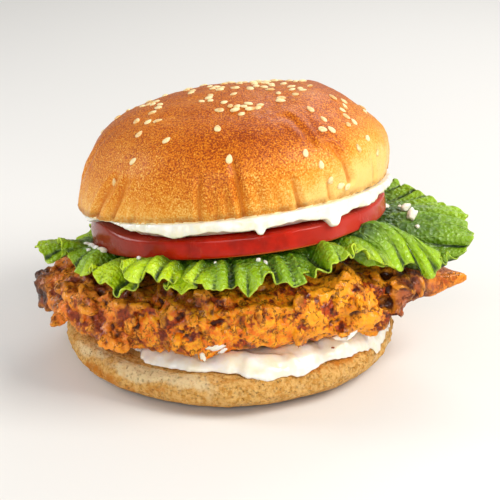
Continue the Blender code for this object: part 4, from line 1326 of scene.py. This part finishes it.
crown_mesh = mould("bun_top_half", 560, 150, crown_point)
crown_places = points_of(crown_mesh)
crown_offsets = crown_places - np.array(pile_middle)
crown_up = crown_offsets @ np.array(PILE_UP)
crown_turns = np.degrees(np.arctan2(crown_offsets @ np.array(pile_back),
                                    crown_offsets @ np.array(pile_right)))
crown_share = np.clip(crown_up / CROWN_HEIGHT, 0.0, 1.0)
crown_smooth = relaxed(crown_mesh, crown_places, 25)
store(crown_mesh, "hollow", np.einsum("ij,ij->i", crown_smooth - crown_places, normals_of(crown_mesh)) / MM)
# Part of this is painted light and shade: the paler patches at the right (324 and 350 degrees) stand for
# light from the right-hand window, the paler one at the upper left (228) is a painted reflection, and the
# narrow browner streaks at 305 and 312 are painted shade along the creases.
CROWN_BAKE_AND_LIGHT = (                        # browner or paler: direction, width, height share, spread, amount
    (276, 26, 0.60, 0.24, 0.10), (324, 34, 0.16, 0.36, -0.36), (350, 40, 0.45, 0.30, -0.22),
    (238, 26, 0.04, 0.16, -0.14), (305, 9, 0.62, 0.10, 0.22), (312, 7, 0.45, 0.10, 0.16),
    (262, 22, 0.20, 0.26, 0.14), (205, 40, 0.30, 0.30, -0.06), (300, 12, 0.10, 0.16, -0.10),
    (228, 34, 0.66, 0.30, -0.16))
bake_and_light = 0.30 + 0.46 * np.clip((crown_share - 0.05) / 0.60, 0.0, 1.0)
for middle, width, share, spread, amount in CROWN_BAKE_AND_LIGHT:
    bake_and_light += amount * bell(crown_turns, middle, width) * np.exp(-((crown_share - share) / spread) ** 2)
store(crown_mesh, "bake_and_light", bake_and_light)
store(crown_mesh, "edge", np.exp(-(np.clip(crown_up - 0.2 * MM, 0.0, None) / (1.9 * MM)) ** 2))
store(crown_mesh, "cut_face", (crown_up < 0.12 * MM).astype(float))
bun_top = new_object("bun_top_half", crown_mesh, crust_finish())
stand_for(bun_top, "bun_top")


# ---------------------------------------------------------------- Sesame seeds
# Hulled sesame, scattered on the egg wash before baking and stuck to the crust. Most lie in a
# band over the top; some strayed down the sides. Each is a flat cream teardrop, laid its own way.
SEED_LENGTH = 3.1 * MM
SEED_WIDTH = 2.1 * MM
SEED_THICKNESS = 0.95 * MM
STRAY_SEEDS = (                       # direction and rise above the waist, in degrees; way it lies
    (213, 35, 20), (212, 28, 80), (223, 28, 50), (229, 29, 10), (226, 21, 40), (244, 18, 40), (231, 10, 0),
    (221, 2, 60), (266, 22, 90), (270, 9, 85), (298, 7, 100), (303, 2, 120), (314, 24, 140), (316, 18, 150),
    (311, 14, 15), (315, 13, 160), (334, 19, 20), (340, 20, 130), (332, 16, 0), (327, 13, 80), (333, 13, 130),
    (332, 6, 90), (323, 4, 150), (335, 0, 90), (306, -4, 90), (311, -7, 40), (314, -8, 70), (339, 26, 150),
    (345, 22, 160), (278, 37, 60), (282, 36, 150), (276, 34, 20), (279, 30, 45), (293, 35, 30), (290, 33, 40),
    (285, 33, 10), (311, 37, 0), (308, 35, 5), (332, 37, 10), (335, 39, 100), (330, 41, 60))
BAND_SEEDS = 62                       # over the top, from the front ridge to the back
BAND_RADIUS = 33.0 * MM
SIDE_SEEDS = 26                       # on the shoulders at the back and sides


def crown_tree():
    """Search tree over the crust."""
    mesh = bun_top.data
    return BVHTree.FromPolygons([vertex.co for vertex in mesh.vertices],
                                [tuple(polygon.vertices) for polygon in mesh.polygons])


def crust_at(tree, turn, rise):
    """Where a line from the middle of the bun comes out through the crust, and the way it faces."""
    heart = pile_middle + PILE_UP * CROWN_WAIST
    flat = pile_right * math.cos(math.radians(turn)) + pile_back * math.sin(math.radians(turn))
    line = flat * math.cos(math.radians(rise)) + PILE_UP * math.sin(math.radians(rise))
    spot, normal, _, _ = tree.ray_cast(heart + line * 0.2, -line)
    return spot, normal


def seed_points():
    """Loose points where seeds lie, each with the way it faces and the way it is turned."""
    dice = random.Random(21)
    tree = crown_tree()
    spots = [(*crust_at(tree, turn, rise), math.radians(way)) for turn, rise, way in STRAY_SEEDS]
    while len(spots) < len(STRAY_SEEDS) + BAND_SEEDS:
        far = BAND_RADIUS * math.sqrt(dice.random())
        turn = dice.uniform(0.0, 360.0)
        rise = math.degrees(math.atan2((CROWN_HEIGHT - CROWN_WAIST) * 0.93, far))
        spot, normal = crust_at(tree, turn, rise)
        if all((spot - other).length > 1.9 * MM for other, _, _ in spots):
            spots.append((spot, normal, dice.uniform(0.0, math.pi)))
    for _ in range(SIDE_SEEDS):
        spot, normal = crust_at(tree, dice.uniform(-5.0, 185.0), dice.uniform(4.0, 34.0))
        spots.append((spot, normal, dice.uniform(0.0, math.pi)))
    mesh = bpy.data.meshes.new("seed_points")
    mesh.from_pydata([spot for spot, _, _ in spots], [], [])
    facing = mesh.attributes.new("facing", "FLOAT_VECTOR", "POINT")
    facing.data.foreach_set("vector", [value for _, normal, _ in spots for value in normal])
    store(mesh, "way", [way for _, _, way in spots])
    holder = bpy.data.objects.new("seed_points", mesh)
    bpy.context.scene.collection.objects.link(holder)
    return holder


def seed_shape():
    """One teardrop seed lying flat, its point along X."""
    def place(direction, share):
        latitude = (share - 0.5) * math.pi
        along = math.cos(direction) * math.cos(latitude)
        taper = 1.0 - 0.22 * along - 0.04 * along ** 2
        return Vector((along * SEED_LENGTH / 2,
                       math.sin(direction) * math.cos(latitude) * taper * SEED_WIDTH / 2,
                       math.sin(latitude) * taper * SEED_THICKNESS / 2 + 0.16 * SEED_THICKNESS))
    holder = bpy.data.objects.new("seed_shape", mould("seed_shape", 14, 8, place))
    holder.data.shade_smooth()
    bpy.context.scene.collection.objects.link(holder)
    return holder


def seed_finish():
    """Cream hull, a little toasted here and there."""
    seed = Finish("sesame_hull")
    toast = seed.rescale(seed.grain(4.0 * MM, 3.0), 0.45, 0.66)
    tone = seed.blend(toast, paint(246, 226, 170), paint(226, 178, 104))
    seed.wire(tone, "Base Color")
    seed.wire(seed.rescale(seed.grain(1.2 * MM), 0.3, 0.7, 0.38, 0.55), "Roughness")
    seed.settings(Subsurface_Weight=0.12, Subsurface_Scale=0.001)
    seed.wire(seed.relief(seed.grain(0.5 * MM, 3.0), 0.08 * MM, 0.6), "Normal")
    return seed.material


def scatter_tree(name, size_spread, tip_degrees, seed):
    """Geometry nodes that lay one shape on every point, turned its own way."""
    tree = bpy.data.node_groups.new(name, "GeometryNodeTree")
    tree.interface.new_socket("Points", in_out="INPUT", socket_type="NodeSocketGeometry")
    tree.interface.new_socket("Shape", in_out="INPUT", socket_type="NodeSocketObject")
    tree.interface.new_socket("Coat", in_out="INPUT", socket_type="NodeSocketMaterial")
    tree.interface.new_socket("Result", in_out="OUTPUT", socket_type="NodeSocketGeometry")
    given = tree.nodes.new("NodeGroupInput")
    result = tree.nodes.new("NodeGroupOutput")
    shape = tree.nodes.new("GeometryNodeObjectInfo")
    lay = tree.nodes.new("GeometryNodeInstanceOnPoints")
    realize = tree.nodes.new("GeometryNodeRealizeInstances")
    coat = tree.nodes.new("GeometryNodeSetMaterial")
    facing = tree.nodes.new("GeometryNodeInputNamedAttribute")
    facing.data_type = "FLOAT_VECTOR"
    facing.inputs["Name"].default_value = "facing"
    way = tree.nodes.new("GeometryNodeInputNamedAttribute")
    way.data_type = "FLOAT"
    way.inputs["Name"].default_value = "way"
    align = tree.nodes.new("FunctionNodeAlignRotationToVector")
    align.axis = "Z"
    turn = tree.nodes.new("ShaderNodeCombineXYZ")
    tip = tree.nodes.new("FunctionNodeRandomValue")
    tip.data_type = "FLOAT"
    tip.inputs[2].default_value = -math.radians(tip_degrees)
    tip.inputs[3].default_value = math.radians(tip_degrees)
    tip.inputs["Seed"].default_value = seed
    spin = tree.nodes.new("FunctionNodeRotateRotation")
    spin.rotation_space = "LOCAL"
    size = tree.nodes.new("FunctionNodeRandomValue")
    size.data_type = "FLOAT"
    size.inputs[2].default_value = 1.0 - size_spread
    size.inputs[3].default_value = 1.0 + size_spread
    size.inputs["Seed"].default_value = seed + 1
    join = tree.links.new
    join(given.outputs["Points"], lay.inputs["Points"])
    join(given.outputs["Shape"], shape.inputs["Object"])
    join(shape.outputs["Geometry"], lay.inputs["Instance"])
    join(facing.outputs["Attribute"], align.inputs["Vector"])
    join(align.outputs["Rotation"], spin.inputs["Rotation"])
    join(way.outputs["Attribute"], turn.inputs["Z"])
    join(tip.outputs[1], turn.inputs["X"])
    join(turn.outputs["Vector"], spin.inputs["Rotate By"])
    join(spin.outputs["Rotation"], lay.inputs["Rotation"])
    join(size.outputs[1], lay.inputs["Scale"])
    join(lay.outputs["Instances"], realize.inputs["Geometry"])
    join(realize.outputs["Geometry"], coat.inputs["Geometry"])
    join(given.outputs["Coat"], coat.inputs["Material"])
    join(coat.outputs["Geometry"], result.inputs["Result"])
    return tree


def scattered(name, points, shape, material, tree):
    """Run the scatter nodes and keep the result as one plain mesh."""
    nodes = points.modifiers.new("scatter", "NODES")
    nodes.node_group = tree
    sockets = {item.name: item.identifier for item in tree.interface.items_tree if item.in_out == "INPUT"}
    nodes[sockets["Shape"]] = shape
    nodes[sockets["Coat"]] = material
    graph = bpy.context.evaluated_depsgraph_get()
    mesh = bpy.data.meshes.new_from_object(points.evaluated_get(graph))
    mesh.name = name
    for helper in (points, shape):
        bpy.data.objects.remove(helper, do_unlink=True)
    return new_object(name, mesh, material)


sesame = scattered("sesame_seeds", seed_points(), seed_shape(), seed_finish(),
                   scatter_tree("lay_seeds", 0.12, 7.0, 4))
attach(sesame, "root")


# ---------------------------------------------------------------- Mayonnaise specks
# Drops of mayonnaise that fell on the lettuce and smears left where the tomato was laid. Each
# is a small soft blob sitting on the leaf or against the tomato's edge.
LEAF_DROPS = (                        # direction, distance in mm, length, width, height in mm, way it lies
    (355.2, 59.6, 4.8, 3.4, 2.4, 95), (359, 59.0, 2.8, 2.2, 1.8, 40), (5.5, 58.2, 3.8, 2.6, 2.2, 70),
    (9.5, 57.0, 1.8, 1.4, 1.1, 0), (352, 61.5, 1.6, 1.3, 0.9, 20), (13, 52.8, 3.2, 2.6, 2.2, 60),
    (17, 54.0, 1.2, 1.0, 0.7, 0), (348, 57.0, 1.0, 0.8, 0.6, 0), (193, 52.4, 3.0, 1.6, 1.6, 106),
    (197, 52.6, 3.6, 1.8, 1.6, 110), (201.5, 52.8, 3.4, 1.9, 1.8, 113), (206, 52.6, 3.6, 1.7, 1.5, 118),
    (211, 52.4, 3.0, 1.8, 1.5, 120), (204, 54.6, 1.6, 1.2, 0.8, 10), (234.4, 54.6, 2.2, 1.2, 1.0, 140),
    (277.5, 51.4, 1.8, 1.6, 1.2, 80), (280, 50.8, 2.8, 1.4, 1.2, 10), (262, 51, 1.2, 0.8, 0.6, 0),
    (40, 52, 2.6, 1.8, 1.1, 60), (78, 51.5, 2.2, 1.5, 1.0, 160), (118, 51, 2.8, 1.6, 1.1, 30),
    (152, 51.2, 2.0, 1.6, 1.0, 80))
FILLET_SMEARS = (                     # direction, height, length, width, thickness in mm, way it lies
    (262.5, 23.6, 6.4, 2.0, 1.0, 8), (264.5, 21.6, 3.8, 1.7, 0.9, 40), (258.0, 20.4, 3.0, 1.8, 0.9, 120),
    (309.5, 21.6, 5.0, 2.2, 1.1, 170), (313.0, 22.6, 5.6, 2.6, 1.2, 20), (316.5, 20.4, 4.4, 2.4, 1.1, 150),
    (336.0, 21.4, 4.0, 1.8, 1.4, 30), (96.0, 20.6, 4.6, 2.2, 1.5, 10), (142.0, 21.4, 3.6, 2.0, 1.4, 160),
    (44.0, 21.0, 4.0, 2.0, 1.5, 20))


def lying_spots():
    """Where each drop lies on the leaves, found from above."""
    leaves = [tree_of(lettuce_front), tree_of(lettuce_right)]
    for turn, far, *shape in LEAF_DROPS:
        out = Vector((math.cos(math.radians(turn)), math.sin(math.radians(turn)), 0.0))
        above = PILE_FOOT + out * far * MM + Vector((0.0, 0.0, 66.0 * MM))
        hits = [tree.ray_cast(above, Vector((0.0, 0.0, -1.0)))[:2] for tree in leaves]
        hits = [hit for hit in hits if hit[0] is not None]
        if hits:
            spot, normal = max(hits, key=lambda hit: hit[0].z)
            yield spot, (normal + Vector((0.0, 0.0, 0.7))).normalized(), shape


SMEAR_START = 100.0 * MM              # well outside the fillet, where each search for its side starts


def clinging_spots():
    """Where each smear clings to the fillet's side, found from outside."""
    for turn, height, *shape in FILLET_SMEARS:
        out = Vector((math.cos(math.radians(turn)), math.sin(math.radians(turn)), 0.0))
        start = PILE_FOOT + out * SMEAR_START + Vector((0.0, 0.0, height * MM))
        spot, normal, _, _ = fillet_tree.ray_cast(start, -out)
        if spot is not None:
            yield spot, (normal + out).normalized(), shape


def drop_mesh():
    """Soft blobs laid on the leaves and on the fillet's side, all in one mesh."""
    blob, blob_faces = round_blob()
    points, faces = [], []
    for number, (spot, normal, shape) in enumerate((*lying_spots(), *clinging_spots())):
        length, width, height, way = shape
        stand = normal.to_track_quat("Z", "Y").to_matrix().to_4x4()
        lay = Matrix.Translation(spot) @ stand @ Matrix.Rotation(math.radians(way), 4, "Z")
        shift = Vector((number * 2.3, 1.0, 0.0))
        faces += [tuple(len(points) + index for index in face) for face in blob_faces]
        for unit in blob:
            bulge = MM * (1.0 + 0.55 * noise.noise(unit * 1.4 + shift)) / 2
            rise = MM * height * (0.6 * unit.z + 0.15)
            points.append(lay @ Vector((unit.x * length * bulge, unit.y * width * bulge, rise)))
    mesh = bpy.data.meshes.new("mayonnaise_drops")
    mesh.from_pydata(points, [], faces)
    return mesh


drops = new_object("mayonnaise_drops", drop_mesh(), mayonnaise)
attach(drops, "root")


# ---------------------------------------------------------------- Batter crumbs
# Scraps of fried batter that broke off the fillet and lie on the mayonnaise and the cut bread
# beside it. They are dark, crisp and angular, the largest about three millimetres long.
CRUMBS = 34
CRUMB_SIZE = 1.2 * MM


def crumb_points():
    """Loose points on the bread and mayonnaise, close in under the fillet's edge."""
    dice = random.Random(9)
    trees = [tree_of(bun_bottom), tree_of(sauce_bottom)]
    spots = []
    while len(spots) < CRUMBS:
        turn = math.radians(dice.uniform(0.0, 360.0))
        out = Vector((math.cos(turn), math.sin(turn), 0.0))
        far = HEEL_RADIUS * (0.91 - 0.14 * dice.random() ** 0.7)
        above = HEEL_MIDDLE + out * far + Vector((0.0, 0.0, 17.2 * MM))
        hits = [tree.ray_cast(above, Vector((0.0, 0.0, -1.0)))[:2] for tree in trees]
        hits = [hit for hit in hits if hit[0] is not None]
        if hits:
            spot, normal = max(hits, key=lambda hit: hit[0].z)
            spots.append((spot, normal, dice.uniform(0.0, 2 * math.pi)))
    mesh = bpy.data.meshes.new("crumb_points")
    mesh.from_pydata([spot for spot, _, _ in spots], [], [])
    facing = mesh.attributes.new("facing", "FLOAT_VECTOR", "POINT")
    facing.data.foreach_set("vector", [value for _, normal, _ in spots for value in normal])
    store(mesh, "way", [way for _, _, way in spots])
    holder = bpy.data.objects.new("crumb_points", mesh)
    bpy.context.scene.collection.objects.link(holder)
    return holder


def crumb_shape():
    """One angular crumb."""
    def place(direction, share):
        latitude = (share - 0.5) * math.pi
        unit = Vector((math.cos(direction) * math.cos(latitude), math.sin(direction) * math.cos(latitude),
                       math.sin(latitude)))
        lump = 1.0 + 0.7 * noise.noise(unit * 1.8 + Vector((4.0, 2.0, 7.0)))
        return Vector((unit.x * 0.62, unit.y * 0.48, unit.z * 0.40)) * CRUMB_SIZE * lump
    holder = bpy.data.objects.new("crumb_shape", mould("crumb_shape", 9, 6, place))
    bpy.context.scene.collection.objects.link(holder)
    return holder


def crumb_paint():
    """Dark fried batter."""
    crumb = Finish("batter_crumb")
    tone = crumb.blend(crumb.rescale(crumb.grain(3.0 * MM, 3.0), 0.4, 0.62),
                       paint(176, 92, 34), paint(92, 42, 18))
    crumb.wire(tone, "Base Color")
    crumb.wire(crumb.rescale(crumb.grain(1.0 * MM), 0.3, 0.7, 0.35, 0.6), "Roughness")
    crumb.wire(crumb.relief(crumb.grain(0.6 * MM, 3.0), 0.2 * MM, 0.8), "Normal")
    return crumb.material


crumbs = scattered("batter_crumbs", crumb_points(), crumb_shape(), crumb_paint(),
                   scatter_tree("lay_crumbs", 0.55, 25.0, 17))
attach(crumbs, "root")
